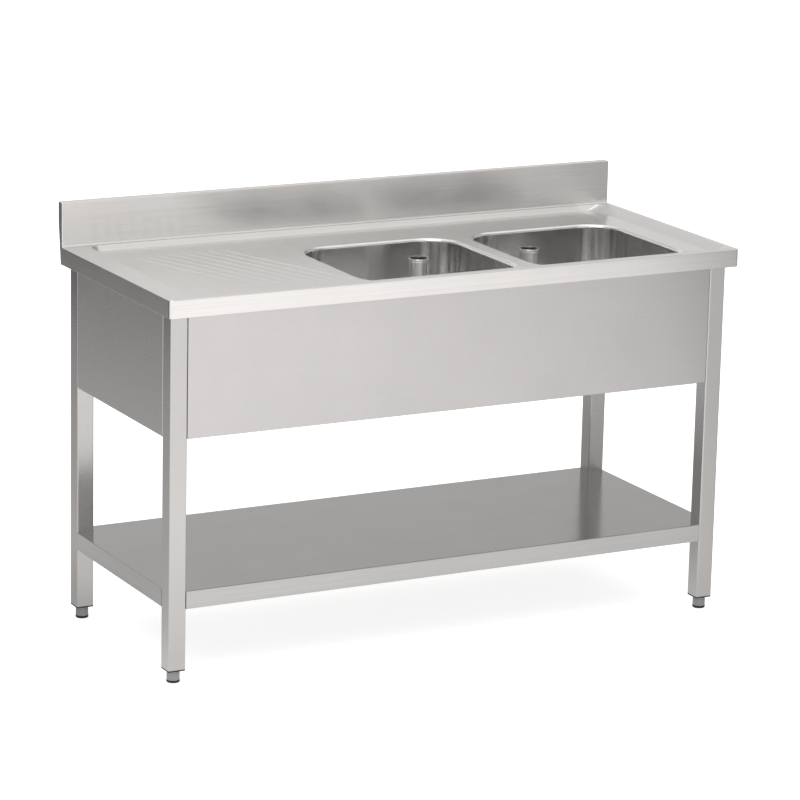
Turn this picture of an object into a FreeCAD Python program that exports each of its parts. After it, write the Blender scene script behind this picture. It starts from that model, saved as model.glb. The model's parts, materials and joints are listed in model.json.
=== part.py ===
import FreeCAD, Part
import math
import os
import Sketcher

# Free-standing kitchen sink unit: a folded sheet worktop with a recessed, ribbed
# drainboard and an upstand along the wall, two deep-drawn bowls with standpipes,
# an apron and side panels between four square legs, an undershelf and screw feet.
# Millimetres, +Z up, the floor is Z = 0, the front faces -Y, X runs to the right.

os.makedirs("parts", exist_ok=True)
doc = FreeCAD.newDocument("sink_unit")
sheet = doc.addObject("Spreadsheet::Sheet", "dims")
row_count = [0]


def dim(name, value, note):
    row_count[0] += 1
    row = row_count[0]
    sheet.set("A%d" % row, note)
    sheet.set("B%d" % row, str(value))
    sheet.setAlias("B%d" % row, name)


# Overall sizes
dim("unit_length", 1400, "length of the worktop, left end to right end")
dim("unit_depth", 600, "front edge of the worktop to the wall")
dim("top_level", 850, "floor to the border of the worktop")
dim("splash_rise", 100, "upstand above the worktop")
dim("splash_thick", 20, "thickness of the hollow upstand")
dim("splash_straight", 45, "upright part of the upstand's wall face")
dim("splash_foot_gap", 12, "how far the wall face leans in at its foot")
# Worktop sheet and edges
dim("top_sheet", 1.2, "sheet of the worktop and of the bowls")
dim("edge_drop", 40, "height of the folded edge")
dim("edge_return", 13, "flange turned in under the folded edge")
dim("edge_radius", 2, "bend radius of the folded edge")
dim("crease_radius", 4, "bend radius between worktop and upstand")
# Recess pressed into the worktop
dim("recess_depth", 12, "depth of the pressed recess")
dim("recess_run", 8, "plan width of the recess's sloping wall")
dim("leg_clear", 2, "recess clear of the left legs")
dim("border_right", 12, "flat border right of the recess")
dim("border_front", 20, "flat border in front of the recess")
dim("border_rear", 12, "flat border between recess and upstand")
dim("recess_corner", 26, "plan radius of the recess's corners")
dim("return_stop", 10, "flange under the ends stops this far in front of the upstand")
# Drainboard ribs
dim("rib_count", 8, "number of pressed ribs")
dim("rib_pitch", 31, "distance between ribs along the length")
dim("rib_length", 400, "length of a rib")
dim("rib_width", 13, "width of a rib at its foot")
dim("rib_height", 1.2, "height of a rib")
dim("rib_lean", 20, "angle of the ribs from straight front to back")
dim("rib_gap", 74.5, "middle of the last rib from the rim of the left bowl")
dim("rib_root", 0.2, "how far a rib reaches down into the sheet")
dim("rib_mid_y", -14, "middle of the ribbed field, front to back")
# Bowls
dim("bowl_share", 0.63, "inside width and length of a bowl, as a share of the unit's depth")
dim("bowl_size", "=bowl_share * unit_depth", "inside width and length of a bowl")
dim("bowl_deep", 250, "depth of a bowl below its rim")
dim("bowl_corner", 75, "upright corner radius of a bowl")
dim("bowl_floor_radius", 36, "radius between bowl wall and floor")
dim("rim_width", 11, "rolled rim of a bowl, seen from above")
dim("rim_roll", 7.2, "radius of the rolled rim")
dim("divider", 47, "distance between the insides of the bowls")
dim("bowl_end", 102, "right end of the worktop to the inside of the right bowl")
dim("bowl_front", 43, "front edge of the worktop to the inside of the bowls")
dim("bowl_pitch", "=bowl_size + divider", "distance between the middles of the bowls")
dim("bowl_right_x", "=unit_length / 2 - bowl_end - bowl_size / 2", "middle of the right bowl")
dim("bowl_mid_y", "=bowl_front + bowl_size / 2 - unit_depth / 2", "middle of both bowls, front to back")
dim("well_radius", 45, "sunk ring for the drain flange")
dim("well_deep", 4, "depth of the sunk ring")
dim("drain_hole", 26, "radius of the hole in the bowl floor")
dim("drain_off_x", 70, "drain from the middle of its bowl, towards the divider")
dim("drain_off_y", 88, "drain from the middle of its bowl, towards the wall")
# Drain parts
dim("flange_radius", 41, "radius of the drain flange")
dim("flange_thick", 3, "thickness of the drain flange")
dim("flange_bevel", 3, "width of the flange's bevelled edge")
dim("hole_clear", 0.3, "gap between the drain's collar and the hole in the bowl")
dim("tail_radius", 23.9, "outside radius of the threaded drain tail")
dim("tail_bore", 20.5, "bore of the drain tail")
dim("tail_drop", 45, "length of the drain tail below the flange")
dim("relief_wide", 2, "width of the groove between the back nut's thread and the outlet's")
dim("relief_deep", 0.8, "depth of that groove")
dim("throat_radius", 19.5, "bore that takes the standpipe")
dim("throat_deep", 15, "depth of that bore")
dim("seat_bore", 16.5, "opening in the ledge below the throat")
dim("seat_thick", 3, "thickness of that ledge")
dim("seal_thick", 3, "thickness of the flange gasket")
dim("seal_radius", 36, "outside radius of the flange gasket")
dim("seal_clear", 0.2, "gap between gasket and drain tail")
dim("nut_high", 11, "height of the back nut")
dim("nut_radius", 33, "outside radius of the back nut")
dim("nut_clear", 0.1, "gap between nut and drain tail")
dim("nut_flats", 6, "number of wrench flats")
dim("nut_flat_deep", 2.5, "depth of a wrench flat")
# Standpipe
dim("pipe_radius", 19, "outside radius of the standpipe")
dim("pipe_wall", 1.5, "wall of the standpipe")
dim("pipe_top_drop", 20, "top of the standpipe below the rim of the bowl")
dim("plug_radius", 18, "lower end of the standpipe")
dim("plug_lift", 1.5, "lower end of the standpipe above the ledge")
dim("shoulder_lift", 0.3, "shoulder of the standpipe above the flange")
dim("collar_radius", 22, "radius of the standpipe's collar")
dim("collar_high", 7, "height of the standpipe's collar")
dim("collar_flare", 2, "height of the flare under the collar")
dim("collar_bevel", 1, "bevel at the top of the collar")
dim("collar_roll", 3, "width of the collar's rolled edge")
dim("ring_radius", 19.42, "outside radius of the rubber ring")
dim("ring_high", 4, "height of the rubber ring")
dim("ring_drop", 5, "top of the rubber ring below the flange")
dim("ring_lip", 0.6, "how far the ring narrows at top and bottom")
# Legs and feet
dim("leg_side", 40, "side of the square leg tube")
dim("leg_wall", 1.5, "wall of the leg tube")
dim("leg_corner", 3, "corner radius of the leg tube")
dim("leg_inset_x", 16, "leg inside the end of the worktop")
dim("leg_inset_front", 30, "leg behind the front edge of the worktop")
dim("leg_inset_rear", 30, "leg in front of the wall")
dim("leg_bottom", 31, "floor to the lower end of the leg tube")
dim("cap_flange", 3, "flange of the plastic insert")
dim("cap_plug", 30, "length of the insert inside the leg")
dim("cap_bore", 5.06, "bore of the insert")
dim("cap_clear", 0.2, "gap between the insert and the inside of the leg")
dim("stem_radius", 5, "radius of the foot's stem")
dim("stem_top", 58, "upper end of the foot's stem")
dim("foot_radius", 14.2, "radius of the foot")
dim("foot_top", 26, "upper face of the foot")
dim("foot_bevel", 1.5, "bevel at the top of the foot")
dim("pin_radius", 4, "pin on which the sole turns")
dim("pin_bottom", 2, "floor to the lower end of that pin")
dim("pin_clear", 0.3, "gap between the foot or its pin and the sole")
dim("sole_radius", 14.6, "radius of the sole")
dim("sole_high", 5, "height of the sole")
# Panels and shelf
dim("panel_sheet", 1, "sheet of the apron, panels and shelf")
dim("apron_bottom", 540, "lower edge of the apron and side panels")
dim("panel_gap", 0.2, "joint between panels and legs")
dim("flange_in", 20, "flanges turned in at the side panels and the rear rail")
dim("apron_flange_low", 10, "flange turned in at the foot of the apron")
dim("apron_flange_top", 5, "flange turned in at the head of the apron, clear of the bowls")
dim("rail_high", 60, "height of the rear rail")
dim("shelf_level", 205, "upper face of the undershelf")
dim("shelf_edge", 40, "height of the shelf's folded edge")
dim("shelf_return", 12, "flange turned in under the shelf's edge")
dim("shelf_notch_gap", 2, "gap between the shelf's folded edge and a leg")
dim("hat_wide", 70, "width of the shelf stiffener, without flanges")
dim("hat_high", 20, "height of the shelf stiffener")
dim("hat_flange", 15, "flanges of the stiffeners")
dim("rib_hat_wide", 50, "width of the worktop stiffeners, without flanges")
dim("rib_hat_high", 25, "height of the worktop stiffeners")
dim("hat_end", 20, "shelf stiffener ends this far from the legs")
dim("hat_play", 1, "worktop stiffeners end this far from the panels' flanges")
dim("hat_left", 150, "left end of the worktop to the middle of the left stiffener")
dim("hat_mid", 104, "middle of the second stiffener from the rim of the left bowl")
dim("back_hat_left", 44, "left end of the rear stiffener from that rim")
dim("back_hat_front", 3, "rear stiffener behind the bowls' rims")
dim("back_hat_rear", 35, "rear stiffener in front of the rear rail's flanges")
# Workshop values
dim("overcut", 2, "a cut starts this far outside the solid")
doc.recompute()

# Named levels and distances, worked out from the cells above
DER = {
    "half_len": "dims.unit_length / 2",
    "half_dep": "dims.unit_depth / 2",
    "splash_face": "dims.unit_depth / 2 - dims.splash_thick",
    "under_border": "dims.top_level - dims.top_sheet",
    "floor_level": "dims.top_level - dims.recess_depth",
    "under_floor": "dims.top_level - dims.recess_depth - dims.top_sheet",
    "edge_bottom": "dims.top_level - dims.edge_drop",
    "bowl_bottom": "dims.top_level - dims.recess_depth - dims.bowl_deep",
    "border_left": "dims.leg_inset_x + dims.leg_side + dims.leg_clear",
    "bowls_left": "dims.bowl_right_x - dims.bowl_pitch - dims.bowl_size / 2 - dims.rim_width",
    "bowls_rear": "dims.bowl_mid_y + dims.bowl_size / 2 + dims.rim_width",
    "leg_x": "dims.unit_length / 2 - dims.leg_inset_x",
    "leg_front": "dims.unit_depth / 2 - dims.leg_inset_front",
    "leg_rear": "dims.unit_depth / 2 - dims.leg_inset_rear",
}


def ex(text):
    for key in DER:
        text = text.replace("<" + key + ">", "(" + DER[key] + ")")
    return text


def val(text):
    got = sheet.evalExpression(ex(text).replace("dims.", ""))
    return float(getattr(got, "Value", got))


def origin_plane(body, role):
    for feature in body.Origin.OriginFeatures:
        if feature.Role == role:
            return feature
    raise RuntimeError("no plane " + role)


def new_body(name):
    body = doc.addObject("PartDesign::Body", name)
    body.Label = name
    return body


def new_sketch(body, name, role, level):
    sk = body.newObject("Sketcher::SketchObject", body.Name + "_" + name)
    sk.AttachmentSupport = [(origin_plane(body, role), "")]
    sk.MapMode = "FlatFace"
    if level != "0":
        sk.setExpression("AttachmentOffset.Base.z", ex(level))
    return sk


def pin_point(sk, geo, pos, x_text, y_text):
    for kind, axis, text in (("DistanceX", -2, x_text), ("DistanceY", -1, y_text)):
        amount = val(text)
        if abs(amount) < 1e-9:
            sk.addConstraint(Sketcher.Constraint("PointOnObject", geo, pos, axis))
        else:
            at = sk.addConstraint(Sketcher.Constraint(kind, -1, 1, geo, pos, amount))
            sk.setExpression("Constraints[%d]" % at, ex(text))


def polygon(sk, corners):
    first = sk.GeometryCount
    points = [FreeCAD.Vector(val(a), val(b), 0) for a, b in corners]
    count = len(points)
    for i in range(count):
        sk.addGeometry(Part.LineSegment(points[i], points[(i + 1) % count]), False)
    for i in range(count):
        here = first + i
        after = first + (i + 1) % count
        sk.addConstraint(Sketcher.Constraint("Coincident", here, 2, after, 1))
    for i in range(count):
        pin_point(sk, first + i, 1, corners[i][0], corners[i][1])


def rectangle(sk, x_low, y_low, x_high, y_high):
    polygon(sk, [(x_low, y_low), (x_high, y_low), (x_high, y_high), (x_low, y_high)])


def circle(sk, x_text, y_text, radius):
    middle = FreeCAD.Vector(val(x_text), val(y_text), 0)
    geo = sk.addGeometry(Part.Circle(middle, FreeCAD.Vector(0, 0, 1), val(radius)), False)
    at = sk.addConstraint(Sketcher.Constraint("Radius", geo, val(radius)))
    sk.setExpression("Constraints[%d]" % at, ex(radius))
    pin_point(sk, geo, 3, x_text, y_text)


def rounded(sk, x_low, y_low, x_high, y_high, radius):
    # four arcs, counter-clockwise from the lower right, joined by four lines
    r = val(radius)
    x0 = val(x_low) + r
    x1 = val(x_high) - r
    y0 = val(y_low) + r
    y1 = val(y_high) - r
    in_low = "(%s) + (%s)"
    in_high = "(%s) - (%s)"
    mids = [(x1, y0, in_high % (x_high, radius), in_low % (y_low, radius), -0.5),
            (x1, y1, in_high % (x_high, radius), in_high % (y_high, radius), 0.0),
            (x0, y1, in_low % (x_low, radius), in_high % (y_high, radius), 0.5),
            (x0, y0, in_low % (x_low, radius), in_low % (y_low, radius), 1.0)]
    up = FreeCAD.Vector(0, 0, 1)
    arcs = []
    for cx, cy, x_text, y_text, turn in mids:
        ring = Part.Circle(FreeCAD.Vector(cx, cy, 0), up, r)
        start = turn * math.pi
        arcs.append(sk.addGeometry(Part.ArcOfCircle(ring, start, start + math.pi / 2), False))
    lines = []
    for i in range(4):
        cx, cy, x_text, y_text, turn = mids[i]
        nx, ny, nx_text, ny_text, n_turn = mids[(i + 1) % 4]
        a = (turn + 0.5) * math.pi
        out = FreeCAD.Vector(r * math.cos(a), r * math.sin(a), 0)
        begin = FreeCAD.Vector(cx, cy, 0) + out
        end = FreeCAD.Vector(nx, ny, 0) + out
        lines.append(sk.addGeometry(Part.LineSegment(begin, end), False))
    for i in range(4):
        sk.addConstraint(Sketcher.Constraint("Tangent", arcs[i], 2, lines[i], 1))
        sk.addConstraint(Sketcher.Constraint("Tangent", lines[i], 2, arcs[(i + 1) % 4], 1))
    for i in range(4):
        at = sk.addConstraint(Sketcher.Constraint("Radius", arcs[i], r))
        sk.setExpression("Constraints[%d]" % at, ex(radius))
        pin_point(sk, arcs[i], 3, mids[i][2], mids[i][3])


def pad(body, name, sk, length, backward=False):
    feature = body.newObject("PartDesign::Pad", body.Name + "_" + name)
    feature.Profile = sk
    feature.Length = val(length)
    feature.setExpression("Length", ex(length))
    feature.Reversed = backward
    sk.Visibility = False
    doc.recompute()
    return feature


def pocket(body, name, sk, length, backward=False):
    before = body.Shape.Volume
    feature = body.newObject("PartDesign::Pocket", body.Name + "_" + name)
    feature.Profile = sk
    feature.Length = val(length)
    feature.setExpression("Length", ex(length))
    feature.Reversed = backward
    sk.Visibility = False
    doc.recompute()
    if body.Shape.Volume >= before - 1e-6:
        raise RuntimeError("pocket removed nothing: " + feature.Name)
    return feature


def revolve(body, name, sk):
    feature = body.newObject("PartDesign::Revolution", body.Name + "_" + name)
    feature.Profile = sk
    feature.ReferenceAxis = (sk, ["V_Axis"])
    feature.Angle = 360
    sk.Visibility = False
    doc.recompute()
    return feature


def loft(body, name, kind, low, high):
    feature = body.newObject(kind, body.Name + "_" + name)
    feature.Profile = low
    feature.Sections = [high]
    feature.Ruled = True
    low.Visibility = False
    high.Visibility = False
    doc.recompute()
    return feature


def fillet(body, name, radius, test):
    base = body.Tip
    names = []
    for i, edge in enumerate(base.Shape.Edges):
        if test(edge):
            names.append("Edge%d" % (i + 1))
    if not names:
        raise RuntimeError("no edge for fillet " + name)
    feature = body.newObject("PartDesign::Fillet", body.Name + "_" + name)
    feature.Base = (base, names)
    feature.Radius = val(radius)
    feature.setExpression("Radius", ex(radius))
    doc.recompute()
    return feature


def place(body, x_text, y_text, z_text):
    for axis, text in (("x", x_text), ("y", y_text), ("z", z_text)):
        if text != "0":
            body.setExpression("Placement.Base." + axis, ex(text))


def near(a, b):
    return abs(a - b) < 1e-4


def edge_points(edge):
    first, last = edge.ParameterRange
    return [edge.valueAt(first + (last - first) * k / 4) for k in range(5)]


def flat_at(edge, z):
    return all(near(p.z, z) for p in edge_points(edge))


def reach_of(edge):
    return max(max(abs(p.x), abs(p.y)) for p in edge_points(edge))


# ---------------------------------------------------------------- worktop
worktop = new_body("worktop")
sk = new_sketch(worktop, "outline", "YZ_Plane", "-<half_len>")
polygon(sk, [
    ("-<half_dep>", "<edge_bottom>"),
    ("-<half_dep>", "dims.top_level"),
    ("<splash_face>", "dims.top_level"),
    ("<splash_face>", "dims.top_level + dims.splash_rise"),
    ("<half_dep>", "dims.top_level + dims.splash_rise"),
    ("<half_dep>", "dims.top_level + dims.splash_rise - dims.splash_straight"),
    ("<half_dep> - dims.splash_foot_gap", "<edge_bottom>"),
])
pad(worktop, "solid", sk, "dims.unit_length")
front_y = -val("<half_dep>")
rear_y = val("<half_dep>")
face_y = val("<splash_face>")
top_z = val("dims.top_level")
crown_z = val("dims.top_level + dims.splash_rise")


def is_long(edge):
    return edge.BoundBox.XLength > val("dims.unit_length") - 1


def fold_edge(edge):
    box = edge.BoundBox
    front = near(box.YMin, front_y) and flat_at(edge, top_z)
    crown = flat_at(edge, crown_z)
    return is_long(edge) and (front or crown)


fillet(worktop, "folds", "dims.edge_radius", fold_edge)
fillet(worktop, "crease", "dims.crease_radius",
       lambda e: is_long(e) and near(e.BoundBox.YMin, face_y) and flat_at(e, top_z))
# the inside of the fold, one sheet thickness in from every outer face
sk = new_sketch(worktop, "hollow", "YZ_Plane", "-<half_len> + dims.top_sheet")
polygon(sk, [
    ("-<half_dep> + dims.top_sheet", "<edge_bottom> - dims.overcut"),
    ("-<half_dep> + dims.top_sheet", "<under_border>"),
    ("<splash_face> + dims.top_sheet", "<under_border>"),
    ("<splash_face> + dims.top_sheet", "dims.top_level + dims.splash_rise - dims.top_sheet"),
    ("<half_dep> - dims.top_sheet", "dims.top_level + dims.splash_rise - dims.top_sheet"),
    ("<half_dep> - dims.top_sheet", "dims.top_level + dims.splash_rise - dims.splash_straight"),
    ("<half_dep> - dims.splash_foot_gap - dims.top_sheet", "<edge_bottom>"),
    ("<half_dep> - dims.splash_foot_gap - dims.top_sheet", "<edge_bottom> - dims.overcut"),
])
pocket(worktop, "inside", sk, "dims.unit_length - 2 * dims.top_sheet", True)
# flange turned in under the front and the two ends
sk = new_sketch(worktop, "flange", "XY_Plane", "<edge_bottom>")
out_x = "<half_len> - dims.top_sheet / 2"
in_x = "<half_len> - dims.edge_return"
polygon(sk, [
    ("-(%s)" % out_x, "-<half_dep> + dims.top_sheet / 2"),
    (out_x, "-<half_dep> + dims.top_sheet / 2"),
    (out_x, "<splash_face> - dims.return_stop"),
    (in_x, "<splash_face> - dims.return_stop"),
    (in_x, "-<half_dep> + dims.edge_return"),
    ("-(%s)" % in_x, "-<half_dep> + dims.edge_return"),
    ("-(%s)" % in_x, "<splash_face> - dims.return_stop"),
    ("-(%s)" % out_x, "<splash_face> - dims.return_stop"),
])
pad(worktop, "return", sk, "dims.top_sheet")


def recess_sketch(name, level, inward, corner):
    s = new_sketch(worktop, name, "XY_Plane", level)
    rounded(s,
            "-<half_len> + <border_left> + (%s)" % inward,
            "-<half_dep> + dims.border_front + (%s)" % inward,
            "<half_len> - dims.border_right - (%s)" % inward,
            "<splash_face> - dims.border_rear - (%s)" % inward,
            corner)
    return s


# the pressed tub: its outside is added under the sheet, then its inside is cut
hang_a = recess_sketch("tub_low", "<under_floor>",
                       "dims.recess_run - dims.top_sheet", "dims.recess_corner - dims.recess_run")
hang_b = recess_sketch("tub_high", "<under_border> + dims.top_sheet / 4",
                       "-dims.top_sheet", "dims.recess_corner")
loft(worktop, "tub", "PartDesign::AdditiveLoft", hang_a, hang_b)
cut_a = recess_sketch("recess_low", "<floor_level>",
                      "dims.recess_run", "dims.recess_corner - dims.recess_run")
cut_b = recess_sketch("recess_high", "dims.top_level", "0", "dims.recess_corner")
loft(worktop, "recess", "PartDesign::SubtractiveLoft", cut_a, cut_b)
# openings that take the two bowls
sk = new_sketch(worktop, "bowl_openings", "XY_Plane", "<floor_level>")
half = "dims.bowl_size / 2 + dims.rim_width"
for mid in ("dims.bowl_right_x", "dims.bowl_right_x - dims.bowl_pitch"):
    rounded(sk, "%s - (%s)" % (mid, half), "dims.bowl_mid_y - (%s)" % half,
            "%s + %s" % (mid, half), "dims.bowl_mid_y + %s" % half,
            "dims.bowl_corner + dims.rim_width")
pocket(worktop, "openings", sk, "3 * dims.top_sheet")
# drainboard ribs: one pressed rib with sloping sides, repeated along the length
first_x = "<bowls_left> - dims.rib_gap - (dims.rib_count - 1) * dims.rib_pitch"
rib_foot = new_sketch(worktop, "rib_foot", "XY_Plane", "<floor_level> - dims.rib_root")
rib_crown = new_sketch(worktop, "rib_crown", "XY_Plane", "<floor_level> + dims.rib_height")


def slot(sk, half_wide):
    # two parallel lines joined by two half circles, leaning by rib_lean
    run = "(dims.rib_length / 2 - dims.rib_width / 2)"
    ux = "sin(dims.rib_lean * 1 deg)"
    uy = "-cos(dims.rib_lean * 1 deg)"
    ax = "%s - %s * %s" % (first_x, run, ux)
    ay = "dims.rib_mid_y - (%s * %s)" % (run, uy)
    bx = "%s + %s * %s" % (first_x, run, ux)
    by = "dims.rib_mid_y + (%s * %s)" % (run, uy)
    r = val(half_wide)
    a = FreeCAD.Vector(val(ax), val(ay), 0)
    b = FreeCAD.Vector(val(bx), val(by), 0)
    along = (b - a).normalize()
    side = FreeCAD.Vector(-along.y, along.x, 0)
    up = FreeCAD.Vector(0, 0, 1)
    turn = math.atan2(side.y, side.x)
    ring_a = Part.Circle(a, up, r)
    arc_a = sk.addGeometry(Part.ArcOfCircle(ring_a, turn, turn + math.pi), False)
    low = sk.addGeometry(Part.LineSegment(a - side * r, b - side * r), False)
    ring_b = Part.Circle(b, up, r)
    arc_b = sk.addGeometry(Part.ArcOfCircle(ring_b, turn + math.pi, turn + 2 * math.pi), False)
    high = sk.addGeometry(Part.LineSegment(b + side * r, a + side * r), False)
    sk.addConstraint(Sketcher.Constraint("Tangent", arc_a, 2, low, 1))
    sk.addConstraint(Sketcher.Constraint("Tangent", low, 2, arc_b, 1))
    sk.addConstraint(Sketcher.Constraint("Tangent", arc_b, 2, high, 1))
    sk.addConstraint(Sketcher.Constraint("Tangent", high, 2, arc_a, 1))
    at = sk.addConstraint(Sketcher.Constraint("Radius", arc_a, r))
    sk.setExpression("Constraints[%d]" % at, ex(half_wide))
    pin_point(sk, arc_a, 3, ax, ay)
    pin_point(sk, arc_b, 3, bx, by)


slot(rib_foot, "dims.rib_width / 2")
slot(rib_crown, "dims.rib_width / 4")
rib = loft(worktop, "rib", "PartDesign::AdditiveLoft", rib_foot, rib_crown)
ribs = worktop.newObject("PartDesign::LinearPattern", "worktop_ribs")
ribs.Originals = [rib]
ribs.Direction = (rib_foot, ["H_Axis"])
ribs.setExpression("Length", ex("(dims.rib_count - 1) * dims.rib_pitch"))
ribs.setExpression("Occurrences", "dims.rib_count")
worktop.Tip = ribs
doc.recompute()


# ---------------------------------------------------------------- bowls
def make_bowl(name, mid_x, drain_side):
    body = new_body(name)
    # built about the middle of the bowl, rim level at Z = 0
    reach = "(dims.bowl_size / 2)"
    rim = "(%s + dims.rim_width)" % reach
    skin = "(%s + dims.top_sheet)" % reach
    s = new_sketch(body, "rim_outline", "XY_Plane", "-dims.top_sheet")
    rounded(s, "-%s" % rim, "-%s" % rim, rim, rim, "dims.bowl_corner + dims.rim_width")
    pad(body, "rim", s, "dims.top_sheet")
    s = new_sketch(body, "tub_outline", "XY_Plane", "-dims.top_sheet / 2")
    rounded(s, "-%s" % skin, "-%s" % skin, skin, skin, "dims.bowl_corner + dims.top_sheet")
    pad(body, "tub", s, "dims.bowl_deep + dims.top_sheet / 2", True)
    inner_limit = val("dims.bowl_size / 2 + dims.top_sheet") + 0.01
    fillet(body, "roll_inside", "dims.rim_roll - dims.top_sheet",
           lambda e: flat_at(e, -val("dims.top_sheet")) and reach_of(e) < inner_limit)
    # the inside is rounded first, so that the outside follows it one sheet away
    s = new_sketch(body, "inside_outline", "XY_Plane", "0")
    rounded(s, "-%s" % reach, "-%s" % reach, reach, reach, "dims.bowl_corner")
    pocket(body, "inside", s, "dims.bowl_deep")
    fillet(body, "inside_floor", "dims.bowl_floor_radius",
           lambda e: flat_at(e, -val("dims.bowl_deep")))
    fillet(body, "tub_floor", "dims.bowl_floor_radius + dims.top_sheet",
           lambda e: flat_at(e, -val("dims.bowl_deep + dims.top_sheet")))
    fillet(body, "roll", "dims.rim_roll",
           lambda e: flat_at(e, 0) and reach_of(e) < val("dims.bowl_size / 2") + 0.01)
    # sunk ring round the drain, pressed downwards
    dx = "%d * dims.drain_off_x" % drain_side
    s = new_sketch(body, "well_skin", "XY_Plane", "-dims.bowl_deep - dims.top_sheet / 2")
    circle(s, dx, "dims.drain_off_y", "dims.well_radius + dims.top_sheet")
    pad(body, "well", s, "dims.well_deep + dims.top_sheet / 2", True)
    s = new_sketch(body, "well_outline", "XY_Plane", "-dims.bowl_deep")
    circle(s, dx, "dims.drain_off_y", "dims.well_radius")
    pocket(body, "well_cut", s, "dims.well_deep")
    s = new_sketch(body, "hole_outline", "XY_Plane", "-dims.bowl_deep")
    circle(s, dx, "dims.drain_off_y", "dims.drain_hole")
    pocket(body, "hole", s, "dims.well_deep + 2 * dims.top_sheet")
    place(body, mid_x, "dims.bowl_mid_y", "<floor_level>")
    return body


LEFT_X = "dims.bowl_right_x - dims.bowl_pitch"
RIGHT_X = "dims.bowl_right_x"
make_bowl("bowl_left", LEFT_X, 1)
make_bowl("bowl_right", RIGHT_X, -1)


# ---------------------------------------------------------------- drains and standpipes
def turned(name, corners):
    body = new_body(name)
    s = new_sketch(body, "profile", "XZ_Plane", "0")
    polygon(s, corners)
    revolve(body, "turned", s)
    return body


def make_drain(side, mid_x, drain_side):
    x = "%s + %d * dims.drain_off_x" % (mid_x, drain_side)
    y = "dims.bowl_mid_y + dims.drain_off_y"
    # level 0 of these parts is the floor of the sunk ring
    z = "<bowl_bottom> - dims.well_deep"
    top = "dims.flange_thick"
    nut_under = "-dims.top_sheet - dims.seal_thick - dims.nut_high"
    flange = turned("drain_flange_" + side, [
        ("dims.throat_radius", top),
        ("dims.throat_radius", "%s - dims.throat_deep" % top),
        ("dims.seat_bore", "%s - dims.throat_deep" % top),
        ("dims.seat_bore", "%s - dims.throat_deep - dims.seat_thick" % top),
        ("dims.tail_bore", "%s - dims.throat_deep - dims.seat_thick" % top),
        ("dims.tail_bore", "%s - dims.tail_drop" % top),
        ("dims.tail_radius", "%s - dims.tail_drop" % top),
        ("dims.tail_radius", "%s - dims.relief_wide" % nut_under),
        ("dims.tail_radius - dims.relief_deep", "%s - dims.relief_wide" % nut_under),
        ("dims.tail_radius - dims.relief_deep", nut_under),
        ("dims.tail_radius", nut_under),
        ("dims.tail_radius", "-dims.top_sheet"),
        ("dims.drain_hole - dims.hole_clear", "-dims.top_sheet"),
        ("dims.drain_hole - dims.hole_clear", "0"),
        ("dims.flange_radius", "0"),
        ("dims.flange_radius", "%s / 2" % top),
        ("dims.flange_radius - dims.flange_bevel", top),
    ])
    place(flange, x, y, z)
    gasket = turned("drain_gasket_" + side, [
        ("dims.tail_radius + dims.seal_clear", "-dims.top_sheet"),
        ("dims.seal_radius", "-dims.top_sheet"),
        ("dims.seal_radius", "-dims.top_sheet - dims.seal_thick"),
        ("dims.tail_radius + dims.seal_clear", "-dims.top_sheet - dims.seal_thick"),
    ])
    place(gasket, x, y, z)
    # back nut: a round collar with flats cut for the wrench
    nut = new_body("drain_nut_" + side)
    under = "-dims.top_sheet - dims.seal_thick"
    s = new_sketch(nut, "ring", "XY_Plane", under)
    circle(s, "0", "0", "dims.nut_radius")
    pad(nut, "collar", s, "dims.nut_high", True)
    s = new_sketch(nut, "bore", "XY_Plane", under)
    circle(s, "0", "0", "dims.tail_radius + dims.nut_clear")
    pocket(nut, "bored", s, "dims.nut_high + dims.overcut")
    s = new_sketch(nut, "flat", "XY_Plane", "%s - dims.nut_high / 3" % under)
    rectangle(s, "-dims.nut_radius", "dims.nut_radius - dims.nut_flat_deep",
              "dims.nut_radius", "dims.nut_radius + dims.overcut")
    flat = pocket(nut, "flat_cut", s, "dims.nut_high")
    flats = nut.newObject("PartDesign::PolarPattern", nut.Name + "_flats")
    flats.Originals = [flat]
    flats.Axis = (s, ["N_Axis"])
    flats.Angle = 360
    flats.setExpression("Occurrences", "dims.nut_flats")
    nut.Tip = flats
    doc.recompute()
    place(nut, x, y, z)
    # standpipe: stands in the throat, its shoulder just above the flange
    foot = "%s - dims.throat_deep + dims.plug_lift" % top
    shoulder = "%s + dims.shoulder_lift" % top
    head = "<floor_level> - dims.pipe_top_drop - (%s)" % z
    pipe_in = "dims.pipe_radius - dims.pipe_wall"
    plug_in = "dims.plug_radius - dims.pipe_wall"
    pipe = turned("standpipe_" + side, [
        (plug_in, foot),
        ("dims.plug_radius", foot),
        ("dims.plug_radius", shoulder),
        ("dims.pipe_radius", shoulder),
        ("dims.pipe_radius", "%s - dims.collar_high" % head),
        ("dims.collar_radius", "%s - dims.collar_high + dims.collar_flare" % head),
        ("dims.collar_radius", "%s - dims.collar_bevel" % head),
        ("dims.collar_radius - dims.collar_bevel", head),
        ("dims.collar_radius - dims.collar_roll", head),
        (pipe_in, "%s - dims.collar_flare" % head),
        (pipe_in, "%s + 2 * dims.pipe_wall" % shoulder),
        (plug_in, "%s + dims.pipe_wall / 2" % shoulder),
    ])
    place(pipe, x, y, z)
    ring_top = "%s - dims.ring_drop" % top
    ring = turned("standpipe_ring_" + side, [
        ("dims.plug_radius", "%s - dims.ring_high" % ring_top),
        ("dims.ring_radius - dims.ring_lip", "%s - dims.ring_high" % ring_top),
        ("dims.ring_radius", "%s - 3 * dims.ring_high / 4" % ring_top),
        ("dims.ring_radius", "%s - dims.ring_high / 4" % ring_top),
        ("dims.ring_radius - dims.ring_lip", ring_top),
        ("dims.plug_radius", ring_top),
    ])
    place(ring, x, y, z)


make_drain("left", LEFT_X, 1)
make_drain("right", RIGHT_X, -1)


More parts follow.
